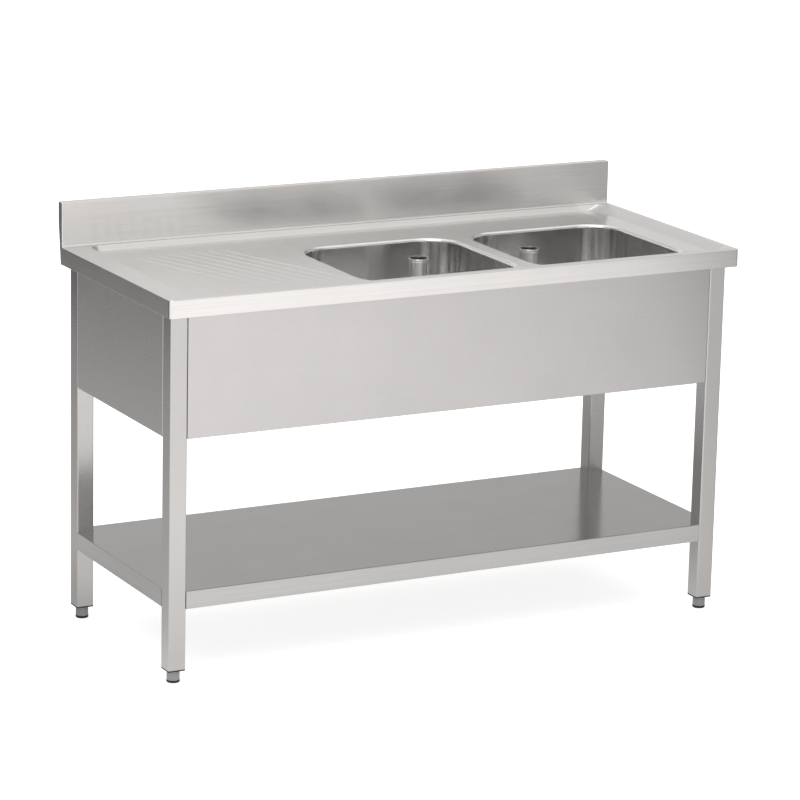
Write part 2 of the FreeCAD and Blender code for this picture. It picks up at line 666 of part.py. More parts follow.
# ---------------------------------------------------------------- legs and feet
def make_leg(tag, x_sign, y_text, top):
    centre_x = "%d * (<leg_x> - dims.leg_side / 2)" % x_sign
    half_leg = "dims.leg_side / 2"
    half_hole = "(dims.leg_side / 2 - dims.leg_wall)"
    leg = new_body("leg_" + tag)
    s = new_sketch(leg, "tube", "XY_Plane", "dims.leg_bottom")
    rounded(s, "-%s" % half_leg, "-%s" % half_leg, half_leg, half_leg, "dims.leg_corner")
    rectangle(s, "-%s" % half_hole, "-%s" % half_hole, half_hole, half_hole)
    pad(leg, "wall", s, "%s - dims.leg_bottom" % top)
    place(leg, centre_x, y_text, "0")

    cap = new_body("leg_cap_" + tag)
    s = new_sketch(cap, "flange", "XY_Plane", "dims.leg_bottom - dims.cap_flange")
    rounded(s, "-%s" % half_leg, "-%s" % half_leg, half_leg, half_leg, "dims.leg_corner")
    pad(cap, "plate", s, "dims.cap_flange")
    half_plug = "(%s - dims.cap_clear)" % half_hole
    s = new_sketch(cap, "plug", "XY_Plane", "dims.leg_bottom")
    rectangle(s, "-%s" % half_plug, "-%s" % half_plug, half_plug, half_plug)
    pad(cap, "block", s, "dims.cap_plug")
    s = new_sketch(cap, "bore", "XY_Plane", "dims.leg_bottom + dims.cap_plug")
    circle(s, "0", "0", "dims.cap_bore")
    pocket(cap, "bored", s, "dims.cap_plug + dims.cap_flange + dims.overcut")
    place(cap, centre_x, y_text, "0")

    foot = turned("foot_" + tag, [
        ("0", "dims.pin_bottom"),
        ("dims.pin_radius", "dims.pin_bottom"),
        ("dims.pin_radius", "dims.sole_high + dims.pin_clear"),
        ("dims.foot_radius", "dims.sole_high + dims.pin_clear"),
        ("dims.foot_radius", "dims.foot_top - dims.foot_bevel"),
        ("dims.foot_radius - dims.foot_bevel", "dims.foot_top"),
        ("dims.stem_radius", "dims.foot_top"),
        ("dims.stem_radius", "dims.stem_top"),
        ("0", "dims.stem_top"),
    ])
    place(foot, centre_x, y_text, "0")

    sole = turned("foot_sole_" + tag, [
        ("0", "0"),
        ("dims.sole_radius", "0"),
        ("dims.sole_radius", "dims.sole_high"),
        ("dims.pin_radius + dims.pin_clear", "dims.sole_high"),
        ("dims.pin_radius + dims.pin_clear", "dims.pin_bottom - dims.pin_clear"),
        ("0", "dims.pin_bottom - dims.pin_clear"),
    ])
    place(sole, centre_x, y_text, "0")


FRONT_Y = "-(<leg_front> - dims.leg_side / 2)"
REAR_Y = "<leg_rear> - dims.leg_side / 2"
# the left legs stand under the wide border, the right ones under the recess
make_leg("front_left", -1, FRONT_Y, "<under_border>")
make_leg("front_right", 1, FRONT_Y, "<under_floor>")
make_leg("rear_left", -1, REAR_Y, "<under_border>")
make_leg("rear_right", 1, REAR_Y, "<under_floor>")


# ---------------------------------------------------------------- apron, side panels, rear rail
def make_panel(name, half_span, low, top, low_flange, top_flange):
    # a folded panel that faces -Y: upright sheet with flanges turned to +Y
    body = new_body(name)
    s = new_sketch(body, "section", "YZ_Plane", "-(%s)" % half_span)
    polygon(s, [
        ("0", low),
        (low_flange, low),
        (low_flange, "%s + dims.panel_sheet" % low),
        ("dims.panel_sheet", "%s + dims.panel_sheet" % low),
        ("dims.panel_sheet", "%s - dims.panel_sheet" % top),
        (top_flange, "%s - dims.panel_sheet" % top),
        (top_flange, top),
        ("0", top),
    ])
    pad(body, "sheet", s, "2 * (%s)" % half_span)
    return body


span_x = "<leg_x> - dims.leg_side - dims.panel_gap"
span_y = "(<leg_front> + <leg_rear>) / 2 - dims.leg_side - dims.panel_gap"
apron = make_panel("apron_front", span_x, "dims.apron_bottom", "<under_floor>",
                   "dims.apron_flange_low", "dims.apron_flange_top")
place(apron, "0", "-<leg_front>", "0")
rail = make_panel("rail_rear", span_x, "(<under_floor> - dims.rail_high)", "<under_floor>",
                  "dims.flange_in", "dims.flange_in")
rail.Placement.Rotation = FreeCAD.Rotation(FreeCAD.Vector(0, 0, 1), 180)
place(rail, "0", "<leg_rear>", "0")
side_left = make_panel("panel_left", span_y, "dims.apron_bottom", "<under_border>",
                       "dims.flange_in", "dims.flange_in")
side_left.Placement.Rotation = FreeCAD.Rotation(FreeCAD.Vector(0, 0, 1), -90)
place(side_left, "-<leg_x>", "(<leg_rear> - <leg_front>) / 2", "0")
side_right = make_panel("panel_right", span_y, "dims.apron_bottom", "<under_floor>",
                        "dims.flange_in", "dims.flange_in")
side_right.Placement.Rotation = FreeCAD.Rotation(FreeCAD.Vector(0, 0, 1), 90)
place(side_right, "<leg_x>", "(<leg_rear> - <leg_front>) / 2", "0")


# ---------------------------------------------------------------- stiffeners
def make_hat(name, half_span, half_wide, high):
    # hat section along X: crown at Z = -high, flanges against Z = 0
    body = new_body(name)
    s = new_sketch(body, "section", "YZ_Plane", "-(%s)" % half_span)
    wide = "(%s)" % half_wide
    outer = "(%s + dims.hat_flange)" % half_wide
    polygon(s, [
        ("-%s" % outer, "0"),
        ("-%s" % wide, "0"),
        ("-%s" % wide, "-(%s) + dims.panel_sheet" % high),
        (wide, "-(%s) + dims.panel_sheet" % high),
        (wide, "0"),
        (outer, "0"),
        (outer, "-dims.panel_sheet"),
        ("%s + dims.panel_sheet" % wide, "-dims.panel_sheet"),
        ("%s + dims.panel_sheet" % wide, "-(%s)" % high),
        ("-%s - dims.panel_sheet" % wide, "-(%s)" % high),
        ("-%s - dims.panel_sheet" % wide, "-dims.panel_sheet"),
        ("-%s" % outer, "-dims.panel_sheet"),
    ])
    pad(body, "sheet", s, "2 * (%s)" % half_span)
    return body


hat_run = "(<leg_front> + <leg_rear>) / 2 - dims.flange_in - dims.hat_play"
for tag, at_x in (("left", "-<half_len> + dims.hat_left"), ("mid", "<bowls_left> - dims.hat_mid")):
    hat = make_hat("stiffener_top_" + tag, hat_run, "dims.rib_hat_wide / 2", "dims.rib_hat_high")
    hat.Placement.Rotation = FreeCAD.Rotation(FreeCAD.Vector(0, 0, 1), 90)
    place(hat, at_x, "(<leg_rear> - <leg_front>) / 2", "<under_floor>")
# the rear one fills the strip between the bowls' rims and the flanges of the rear rail
back_low_x = "(<bowls_left> - dims.back_hat_left)"
back_high_x = "(<leg_x> - dims.leg_side - dims.flange_in)"
back_low_y = "(<bowls_rear> + dims.back_hat_front)"
back_high_y = "(<leg_rear> - dims.flange_in - dims.back_hat_rear)"
back_hat = make_hat("stiffener_top_back", "(%s - %s) / 2" % (back_high_x, back_low_x),
                    "(%s - %s) / 2 - dims.hat_flange" % (back_high_y, back_low_y), "dims.rib_hat_high")
place(back_hat, "(%s + %s) / 2" % (back_low_x, back_high_x),
      "(%s + %s) / 2" % (back_low_y, back_high_y), "<under_floor>")
shelf_hat = make_hat("stiffener_shelf", "<leg_x> - dims.leg_side - dims.hat_end",
                     "dims.hat_wide / 2", "dims.hat_high")
place(shelf_hat, "0", "(<leg_rear> - <leg_front>) / 2", "dims.shelf_level - dims.panel_sheet")


# ---------------------------------------------------------------- undershelf
shelf = new_body("undershelf")
shelf_low = "dims.shelf_level - dims.shelf_edge"
s = new_sketch(shelf, "outline", "XY_Plane", shelf_low)
rectangle(s, "-<leg_x>", "-<leg_front>", "<leg_x>", "<leg_rear>")
pad(shelf, "block", s, "dims.shelf_edge")
s = new_sketch(shelf, "hollow", "XY_Plane", "%s + dims.panel_sheet" % shelf_low)
rectangle(s, "-<leg_x> + dims.panel_sheet", "-<leg_front> + dims.panel_sheet",
          "<leg_x> - dims.panel_sheet", "<leg_rear> - dims.panel_sheet")
pocket(shelf, "inside", s, "dims.shelf_edge - 2 * dims.panel_sheet", True)
s = new_sketch(shelf, "mouth", "XY_Plane", shelf_low)
rectangle(s, "-<leg_x> + dims.shelf_return", "-<leg_front> + dims.shelf_return",
          "<leg_x> - dims.shelf_return", "<leg_rear> - dims.shelf_return")
pocket(shelf, "opened", s, "dims.panel_sheet * 3 / 2", True)


def corner_cuts(name, level, reach, depth):
    s = new_sketch(shelf, name, "XY_Plane", level)
    inside_x = "<leg_x> - (%s)" % reach
    inside_f = "<leg_front> - (%s)" % reach
    inside_r = "<leg_rear> - (%s)" % reach
    out_x = "(<leg_x> + dims.overcut)"
    out_f = "(<leg_front> + dims.overcut)"
    out_r = "(<leg_rear> + dims.overcut)"
    rectangle(s, "-%s" % out_x, "-%s" % out_f, "-(%s)" % inside_x, "-(%s)" % inside_f)
    rectangle(s, inside_x, "-%s" % out_f, out_x, "-(%s)" % inside_f)
    rectangle(s, inside_x, inside_r, out_x, out_r)
    rectangle(s, "-%s" % out_x, inside_r, "-(%s)" % inside_x, out_r)
    pocket(shelf, name + "_cut", s, depth, True)


corner_cuts("notches", "%s - dims.overcut" % shelf_low, "dims.leg_side + dims.panel_gap",
            "dims.shelf_edge + 2 * dims.overcut")
corner_cuts("edge_gaps", "%s - dims.overcut" % shelf_low, "dims.leg_side + dims.shelf_notch_gap",
            "dims.shelf_edge + dims.overcut - dims.panel_sheet")


# ---------------------------------------------------------------- checks and files
doc.recompute()
for obj in doc.Objects:
    for flag in obj.State:
        if flag in ("Invalid", "Error"):
            raise RuntimeError("bad state: " + obj.Name + " " + str(obj.State))
written = []
for obj in doc.Objects:
    if obj.TypeId == "PartDesign::Body":
        shape = obj.Shape
        if shape.isNull() or not shape.isValid() or len(shape.Solids) != 1:
            raise RuntimeError("bad shape: %s solids %d" % (obj.Name, len(shape.Solids)))
        shape.exportStep("parts/" + obj.Label + ".step")
        written.append(obj.Label)
print("nodes written:", len(written))
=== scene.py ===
import json
import math

import bpy
import bmesh
from mathutils import Matrix, Vector


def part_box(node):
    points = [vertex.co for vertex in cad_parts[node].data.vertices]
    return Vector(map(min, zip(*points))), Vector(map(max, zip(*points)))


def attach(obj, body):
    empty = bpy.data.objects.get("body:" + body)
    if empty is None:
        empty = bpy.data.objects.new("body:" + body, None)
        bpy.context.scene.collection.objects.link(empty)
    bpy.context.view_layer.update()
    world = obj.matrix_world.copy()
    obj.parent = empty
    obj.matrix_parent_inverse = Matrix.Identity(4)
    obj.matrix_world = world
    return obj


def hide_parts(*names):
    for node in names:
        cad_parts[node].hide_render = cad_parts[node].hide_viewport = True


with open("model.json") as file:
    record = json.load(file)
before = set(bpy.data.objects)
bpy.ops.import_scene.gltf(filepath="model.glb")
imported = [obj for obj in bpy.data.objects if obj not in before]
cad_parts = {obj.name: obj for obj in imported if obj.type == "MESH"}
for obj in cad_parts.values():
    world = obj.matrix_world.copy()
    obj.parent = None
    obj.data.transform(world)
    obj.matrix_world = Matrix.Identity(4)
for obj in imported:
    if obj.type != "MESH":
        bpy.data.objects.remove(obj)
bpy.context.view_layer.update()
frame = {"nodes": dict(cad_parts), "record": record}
SCENE = bpy.context.scene
SIDES = ("left", "right")
CORNERS = ("front_left", "front_right", "rear_left", "rear_right")
MM = 0.001


def middle_of(node):
    low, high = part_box(node)
    return (low.x + high.x) / 2, (low.y + high.y) / 2


# ---------------------------------------------------------------- sizes
TOP_LOW, TOP_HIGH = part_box("worktop")
BOWLS = {side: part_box("bowl_" + side) for side in SIDES}
TOP_LEVEL = TOP_HIGH.z - 100 * MM
RECESS_LEVEL = BOWLS["left"][1].z
TOP_SHEET = 1.2 * MM
PANEL_SHEET = 1.0 * MM
BEND = 2 * MM
HEM = 1 * MM
CREASE = 4 * MM
PLAN_CORNER = 9 * MM
EDGE_RETURN = 13 * MM

SPLASH_Y = TOP_HIGH.y - 20 * MM
SPLASH_STRAIGHT = 45 * MM
SPLASH_FOOT_GAP = 12 * MM

RECESS_LOW = (TOP_LOW.x + 58 * MM, TOP_LOW.y + 20 * MM)
RECESS_HIGH = (TOP_HIGH.x - 12 * MM, SPLASH_Y - 12 * MM)
RECESS_DEPTH = 12 * MM
RECESS_RUN = 8 * MM
RECESS_CORNER = 26 * MM
RECESS_CREST = 1.8 * MM
RECESS_FOOT = 2.6 * MM
# at the right end the recess's wall is this many times as wide
RECESS_RIGHT_SPREAD = 5.0

RIB_COUNT = 8
RIB_PITCH = 31 * MM
RIB_LAST_X = BOWLS["left"][0].x - 74.5 * MM
RIB_MID_Y = -14 * MM
RIB_RUN = 193.5 * MM
RIB_LEAN = 20
# (half width, height) of a rib in mm, from its foot to its crown
RIB_SHAPE = ((7.2, 0.0), (6.0, 0.10), (4.6, 0.50), (3.2, 1.02), (1.8, 1.36), (0.8, 1.45))

BOWL_RIM_CORNER = 86 * MM
RIM = 11 * MM
RIM_ROLL = 7.2 * MM
BOWL_FLOOR = RECESS_LEVEL - 250 * MM
BOWL_FLOOR_RADIUS = 36 * MM
WELL = 45 * MM
WELL_DEEP = 4 * MM
WELL_EDGE = 2 * MM
DRAIN_HOLE = 26 * MM

DRAIN_TAIL = 23.9 * MM
DRAIN_THREAD_ROOT = 22.6 * MM
DRAIN_THREAD_PITCH = 2.3 * MM
# the thread ends at the groove, this far below the flange's face
DRAIN_GROOVE = 20.2 * MM
NUT_RADIUS = 33 * MM
NUT_FLAT = 30.5 * MM
NUT_BORE = 24 * MM
NUT_EDGE = 0.8 * MM
NUT_RIM_EDGE = 0.6 * MM

FOLD = 1.5 * MM
# panels and shelf edges stop short of the legs, and their ends are turned in
PANEL_JOINT = 0.3 * MM
END_RETURN = 14 * MM
SIDE_FLANGE = 20 * MM
APRON_FOOT_FLANGE = 10 * MM
APRON_HEAD_FLANGE = 5 * MM
SHELF_NOTCH = 40.2 * MM
SHELF_GAP = 40.5 * MM
SHELF_RETURN = 12 * MM

FOOT_BASE = 5.3 * MM
FOOT_TOP = 26 * MM
STEM = 5 * MM
STEM_THREAD_ROOT = 4.2 * MM
STEM_THREAD_PITCH = 1.5 * MM
# radius in mm of a hole that is too small to see, where a turned form reaches its axis
AXIS = 0.01


# ---------------------------------------------------------------- node trees
class Nodes:
    """The node tree of a material or world, emptied, and short ways to add and join nodes."""

    def __init__(self, owner):
        owner.use_nodes = True
        self.tree = owner.node_tree
        self.tree.nodes.clear()

    def add(self, kind, **settings):
        node = self.tree.nodes.new(kind)
        for key, value in settings.items():
            setattr(node, key, value)
        return node

    def join(self, source, target):
        self.tree.links.new(source, target)

    def axes(self, source):
        """The X, Y and Z of a vector."""
        split = self.add("ShaderNodeSeparateXYZ")
        self.join(source, split.inputs[0])
        return [split.outputs[axis] for axis in "XYZ"]

    def math(self, operation, a, b=0.0):
        node = self.add("ShaderNodeMath", operation=operation)
        for socket, value in zip(node.inputs, (a, b)):
            if isinstance(value, float):
                socket.default_value = value
            else:
                self.join(value, socket)
        return node.outputs["Value"]

    def step(self, source, low, high):
        """0 below low and 1 above high, with a soft rise between them."""
        node = self.add("ShaderNodeMapRange", interpolation_type="SMOOTHSTEP")
        node.inputs["From Min"].default_value = low
        node.inputs["From Max"].default_value = high
        self.join(source, node.inputs["Value"])
        return node.outputs["Result"]

    def mix(self, factor, first, second):
        """The number first where the factor is 0 and second where it is 1."""
        node = self.add("ShaderNodeMix")
        for name, source in (("Factor", factor), ("A", first), ("B", second)):
            self.join(source, node.inputs[name])
        return node.outputs["Result"]

    def curve(self, source, points):
        """A smooth curve through (input, output) points, outputs from 0 to 2."""
        low = points[0][0]
        high = points[-1][0]
        shift = self.add("ShaderNodeMapRange")
        shift.inputs["From Min"].default_value = low
        shift.inputs["From Max"].default_value = high
        self.join(source, shift.inputs["Value"])
        ramp = self.add("ShaderNodeValToRGB")
        ramp.color_ramp.interpolation = "EASE"
        elements = ramp.color_ramp.elements
        for place, (at, value) in enumerate(points):
            stop = (at - low) / (high - low)
            if place < 2:
                element = elements[place]
                element.position = stop
            else:
                element = elements.new(stop)
            element.color = (value / 2, value / 2, value / 2, 1)
        self.join(shift.outputs["Result"], ramp.inputs["Fac"])
        return self.math("MULTIPLY", ramp.outputs["Color"], 2.0)

    def pick(self, share, first, second):
        """The shader first where the share is 0 and second where it is 1."""
        node = self.add("ShaderNodeMixShader")
        self.join(share, node.inputs["Fac"])
        self.join(first, node.inputs[1])
        self.join(second, node.inputs[2])
        return node.outputs[0]


# a face looks along an axis where its normal's share of that axis is above this
FACING = 0.8


class Shader(Nodes):
    """A new material with a Principled shader."""

    def __init__(self, name):
        self.material = bpy.data.materials.new(name)
        super().__init__(self.material)
        self.surface = self.add("ShaderNodeBsdfPrincipled")
        output = self.add("ShaderNodeOutputMaterial")
        self.join(self.surface.outputs["BSDF"], output.inputs["Surface"])
        self.place = self.add("ShaderNodeTexCoord").outputs["Object"]

    def put(self, **values):
        for key, value in values.items():
            self.surface.inputs[key.replace("_", " ")].default_value = value

    def noise(self, size, detail=3.0, roughness=0.5, stretch=(1, 1, 1), turned=None, share=None):
        """Noise stretched by stretch, or by turned where the share is 1."""
        mapping = self.add("ShaderNodeMapping")
        if turned is None:
            mapping.inputs["Scale"].default_value = stretch
        else:
            self.join(self.choose(share, stretch, turned), mapping.inputs["Scale"])
        self.join(self.place, mapping.inputs["Vector"])
        node = self.add("ShaderNodeTexNoise")
        node.inputs["Scale"].default_value = size
        node.inputs["Detail"].default_value = detail
        node.inputs["Roughness"].default_value = roughness
        self.join(mapping.outputs["Vector"], node.inputs["Vector"])
        return node.outputs["Fac"]

    def span(self, noise, low, high):
        """Noise, which lies mostly between 0.3 and 0.7, spread from low to high."""
        node = self.add("ShaderNodeMapRange")
        node.inputs["From Min"].default_value = 0.3
        node.inputs["From Max"].default_value = 0.7
        node.inputs["To Min"].default_value = low
        node.inputs["To Max"].default_value = high
        self.join(noise, node.inputs["Value"])
        return node.outputs["Result"]

    def choose(self, share, first, second):
        """The vector first where the share is 0 and second where it is 1."""
        node = self.add("ShaderNodeMix", data_type="VECTOR")
        # the node's fifth and sixth sockets are its vectors
        vector_a, vector_b = node.inputs[4:6]
        vector_a.default_value = first
        vector_b.default_value = second
        self.join(share, node.inputs["Factor"])
        return node.outputs[1]

    def facing(self):
        """The X, Y and Z of the surface's true normal."""
        return self.axes(self.add("ShaderNodeNewGeometry").outputs["True Normal"])

    def end_faces(self):
        """1 on faces that look along X, 0 elsewhere."""
        return self.math("GREATER_THAN", self.math("ABSOLUTE", self.facing()[0]), FACING)

    def upper_faces(self):
        """1 on faces that look up, 0 elsewhere."""
        return self.math("GREATER_THAN", self.facing()[2], FACING)

    def right_border(self):
        """1 on the top to the right of the bowls, behind the mitre at the front corner."""
        x, y, z = self.axes(self.place)
        beside = self.math("GREATER_THAN", x, BOWLS["right"][1].x + 3 * MM)
        mitre = self.math("GREATER_THAN", self.math("ADD", x, y), TOP_HIGH.x + TOP_LOW.y)
        below_upstand = self.math("LESS_THAN", z, TOP_LEVEL + 7 * MM)
        return self.math("MULTIPLY", below_upstand, self.math("MULTIPLY", beside, mitre))

    def inside_pipes(self):
        """1 on the inner walls of the two standpipes, 0 elsewhere."""
        left_x, pipe_y = middle_of("standpipe_left")
        right_x = middle_of("standpipe_right")[0]
        x, y, _ = self.axes(self.place)
        normal_x, normal_y, _ = self.facing()
        off = self.math("SUBTRACT", x, (left_x + right_x) / 2)
        from_axis = self.math("SUBTRACT", self.math("ABSOLUTE", off), (right_x - left_x) / 2)
        run_x = self.math("MULTIPLY", from_axis, self.math("SIGN", off))
        run_y = self.math("SUBTRACT", y, pipe_y)
        outwards = self.math("ADD", self.math("MULTIPLY", run_x, normal_x),
                             self.math("MULTIPLY", run_y, normal_y))
        return self.math("LESS_THAN", outwards, -5 * MM)

    def tint(self, factor, tone, dark, light, painted_shade_share=None):
        """Colour from dark to light times the tone, less a share of it given as painted shade."""
        node = self.add("ShaderNodeMix", data_type="RGBA")
        node.inputs["A"].default_value = (*[c * dark for c in tone], 1)
        node.inputs["B"].default_value = (*[min(1.0, c * light) for c in tone], 1)
        self.join(factor, node.inputs["Factor"])
        colour = node.outputs["Result"]
        # painted shade: the colour is scaled down by the given share
        if painted_shade_share:
            dim = self.add("ShaderNodeVectorMath", operation="SCALE")
            self.join(colour, dim.inputs[0])
            self.join(self.math("SUBTRACT", 1.0, painted_shade_share), dim.inputs["Scale"])
            colour = dim.outputs["Vector"]
        self.join(colour, self.surface.inputs["Base Color"])

    def bump(self, height, strength, distance):
        node = self.add("ShaderNodeBump")
        node.inputs["Strength"].default_value = strength
        node.inputs["Distance"].default_value = distance
        self.join(height, node.inputs["Height"])
        self.join(node.outputs["Normal"], self.surface.inputs["Normal"])


# ---------------------------------------------------------------- steel, rubber and plastic
# stroke directions; the small share keeps the tangent off zero on faces across the stroke
ALONG_X = (1.0, 0.01, 0.0)
ALONG_Y = (0.0, 1.0, 0.01)
ALONG_Z = (0.01, 0.0, 1.0)
# noise cells in a metre, with the strokes and across them
STROKES_ALONG = 12.0
STROKES_ACROSS = 1400.0
# broad bands are this many times as wide as single strokes
BAND = 8


def stroke_scale(along):
    return Vector([STROKES_ALONG if share > 0.5 else STROKES_ACROSS for share in along])


def brushed_steel(name, tone, rough, along, grain=1.0, mitred=False, film_and_painted_shade=None):
    """Steel ground in straight strokes; grain is how strong they are.

    Faces that look along X have their strokes along Y, or upright on a leg, and so has the
    border right of the bowls on a mitred top. The last argument is (faces, share): those
    faces lose that share of their colour, as painted shade."""
    s = Shader(name)
    on_ends = ALONG_Z if along == ALONG_Z else ALONG_Y
    scale = stroke_scale(along)
    end_scale = stroke_scale(on_ends)
    turned = s.end_faces()
    if mitred:
        turned = s.math("MAXIMUM", turned, s.right_border())
    strokes = s.noise(1.0, 5.0, 0.65, scale, end_scale, turned)
    bands = s.noise(1.0, 3.0, 0.5, scale / BAND, end_scale / BAND, turned)
    cloud = s.noise(2.6, 4.0)
    smudge = s.noise(9.0, 6.0, 0.6)
    shade = s.math("ADD", s.span(cloud, 0.3, 0.7), s.span(bands, -0.3 * grain, 0.3 * grain))
    shade = s.math("ADD", s.span(strokes, -0.5 * grain, 0.5 * grain), shade)
    painted_shade_share = None
    # painted shade: the given faces, the shelf's top and the worktop's ends, lose a share of their colour
    if film_and_painted_shade:
        faces, share = film_and_painted_shade
        painted_shade_share = s.math("MULTIPLY", faces(s), share)
    s.tint(shade, tone, 0.95, 1.035, painted_shade_share)
    stroke_rough = s.span(strokes, rough - 0.03 * grain, rough + 0.04 * grain)
    s.join(s.math("ADD", stroke_rough, s.span(smudge, -0.015, 0.02)), s.surface.inputs["Roughness"])
    s.put(Metallic=1.0, Anisotropic=0.85)
    # ground steel scatters light across its strokes
    tangent = s.add("ShaderNodeVectorMath", operation="CROSS_PRODUCT")
    s.join(s.add("ShaderNodeNewGeometry").outputs["Normal"], tangent.inputs[0])
    s.join(s.choose(turned, along, on_ends), tangent.inputs[1])
    s.join(tangent.outputs["Vector"], s.surface.inputs["Tangent"])
    s.bump(strokes, 0.05 * grain, 0.3 * MM)
    return s.material


def satin_steel(name, tone, rough):
    """Drawn steel: no strokes, a soft mottle and fine scratches."""
    s = Shader(name)
    mottle = s.noise(30.0, 5.0, 0.6)
    cloud = s.noise(5.0)
    s.tint(s.math("ADD", s.span(mottle, 0.0, 0.5), s.span(cloud, 0.0, 0.5)), tone, 0.92, 1.06)
    s.join(s.span(mottle, rough - 0.03, rough + 0.05), s.surface.inputs["Roughness"])
    s.put(Metallic=1.0)
    s.bump(s.noise(300.0, 2.0), 0.012, 0.2 * MM)
    return s.material


def chrome(name, tone, rough):
    """Smooth plated metal with a faint film."""
    s = Shader(name)
    film_and_painted_shade = s.noise(60.0, 4.0)
    s.tint(s.span(film_and_painted_shade, 0.2, 0.9), tone, 0.93, 1.0)
    s.join(s.span(film_and_painted_shade, rough, rough + 0.05), s.surface.inputs["Roughness"])
    s.put(Metallic=1.0)
    return s.material


def turned_steel(name, tone, rough, pipe_inner_painted_shade):
    """Steel polished round an upright axis, so that highlights run up and down.

    The inside of a pipe loses the given share of its colour, as painted shade for its dark mouth."""
    s = Shader(name)
    strokes = s.noise(1.0, stretch=(25, 25, 1500))
    film_and_painted_shade = s.noise(12.0, 4.0)
    shade = s.math("ADD", s.span(strokes, 0.0, 0.5), s.span(film_and_painted_shade, 0.0, 0.5))
    # painted shade: the inner walls of the standpipes are darkened
    s.tint(shade, tone, 0.94, 1.0, s.math("MULTIPLY", s.inside_pipes(), pipe_inner_painted_shade))
    s.join(s.span(film_and_painted_shade, rough, rough + 0.05), s.surface.inputs["Roughness"])
    s.put(Metallic=1.0, Anisotropic=0.8)
    upright = s.add("ShaderNodeCombineXYZ")
    upright.inputs["Z"].default_value = 1.0
    s.join(upright.outputs["Vector"], s.surface.inputs["Tangent"])
    return s.material


def dull(name, tone, rough, grit):
    """Rubber or moulded plastic with a fine grit."""
    s = Shader(name)
    dust = s.noise(45.0, 5.0, 0.6)
    s.tint(s.span(dust, 0.0, 1.0), tone, 0.8, 1.3)
    s.join(s.span(dust, rough - 0.06, rough + 0.08), s.surface.inputs["Roughness"])
    s.bump(s.noise(grit, 2.0), 0.12, 0.2 * MM)
    return s.material


FINISH = {
    # the worktop's ends and the shelf's top are darkened with painted shade
    "worktop_steel": brushed_steel("worktop_steel_look", (0.80, 0.795, 0.785), 0.22, ALONG_X,
                                   mitred=True, film_and_painted_shade=(Shader.end_faces, 0.20)),
    "panel_steel": brushed_steel("panel_steel_look", (0.61, 0.605, 0.60), 0.27, ALONG_X, grain=0.25),
    "shelf_steel": brushed_steel("shelf_steel_look", (0.53, 0.53, 0.525), 0.15, ALONG_X,
                                 film_and_painted_shade=(Shader.upper_faces, 0.36)),
    "leg_steel": brushed_steel("leg_steel_look", (0.58, 0.575, 0.565), 0.27, ALONG_Z, grain=0.25),
    "stiffener_steel": brushed_steel("stiffener_steel_look", (0.55, 0.55, 0.55), 0.32, ALONG_X),
    "bowl_steel": satin_steel("bowl_steel_look", (0.83, 0.825, 0.82), 0.18),
    "foot_steel": satin_steel("foot_steel_look", (0.34, 0.34, 0.345), 0.34),
    "drain_steel": chrome("drain_steel_look", (0.70, 0.70, 0.71), 0.10),
    # the last number is the share of painted shade inside the standpipes
    "pipe_chrome": turned_steel("pipe_chrome_look", (0.98, 0.975, 0.97), 0.27, 0.82),
    "seal_rubber": dull("seal_rubber_look", (0.030, 0.030, 0.031), 0.7, 900.0),
    "nut_plastic": dull("nut_plastic_look", (0.045, 0.045, 0.047), 0.45, 1500.0),
    "cap_plastic": dull("cap_plastic_look", (0.022, 0.022, 0.023), 0.5, 1500.0),
    "sole_plastic": dull("sole_plastic_look", (0.020, 0.020, 0.021), 0.6, 1200.0),
}
for entry in frame["record"]["subparts"]:
    node = frame["nodes"][entry["node"]]
    node.data.materials.clear()
    node.data.materials.append(FINISH[entry["material_slot"]])


# ---------------------------------------------------------------- meshes and curves
SHARP = math.radians(35)


class Sheet:
    """A mesh made of rings of points, strips between them and flat fills inside them."""

    def __init__(self):
        self.mesh = bmesh.new()

    def ring(self, points):
        return [self.mesh.verts.new(p) for p in points]

    def strip(self, low, high, closed=True):
        count = len(low)
        for k in range(count if closed else count - 1):
            after = (k + 1) % count
            self.mesh.faces.new((low[k], low[after], high[after], high[k]))

    def loft(self, rings, closed=True):
        for low, high in zip(rings, rings[1:]):
            self.strip(low, high, closed)

    def fill(self, *rings):
        """A flat face inside the first ring, with the other rings as holes."""
        edges = []
        for ring in rings:
            for vert, after in zip(ring, ring[1:] + ring[:1]):
                edge = self.mesh.edges.get((vert, after)) or self.mesh.edges.new((vert, after))
                edges.append(edge)
        bmesh.ops.triangle_fill(self.mesh, use_beauty=True, edges=edges)

    def look_outwards(self, out=None):
        """Turns all faces the same way; an open sheet looks mostly along out."""
        bmesh.ops.recalc_face_normals(self.mesh, faces=self.mesh.faces)
        if not out:
            return
        along_out = sum(face.calc_area() * face.normal.dot(Vector(out)) for face in self.mesh.faces)
        if along_out < 0:
            bmesh.ops.reverse_faces(self.mesh, faces=self.mesh.faces)

    def piece(self, name, body, node, slot, thickness=0.0, out=None):
        """Closes the mesh as a piece. A sheet with a thickness looks along out."""
        bmesh.ops.remove_doubles(self.mesh, verts=self.mesh.verts, dist=1e-6)
        bmesh.ops.dissolve_degenerate(self.mesh, edges=self.mesh.edges, dist=1e-7)
        if thickness:
            self.look_outwards(out)
        data = bpy.data.meshes.new(name)
        self.mesh.to_mesh(data)
        self.mesh.free()
        data.shade_smooth()
        data.materials.append(FINISH[slot])
        made = bpy.data.objects.new(name, data)
        SCENE.collection.objects.link(made)
        if thickness:
            skin = made.modifiers.new("sheet", "SOLIDIFY")
            skin.thickness = thickness
            skin.offset = -1.0
            skin.use_even_offset = True
        split = made.modifiers.new("edges", "EDGE_SPLIT")
        split.split_angle = SHARP
        weigh = made.modifiers.new("normals", "WEIGHTED_NORMAL")
        weigh.keep_sharp = True
        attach(made, body)
        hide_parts(node)


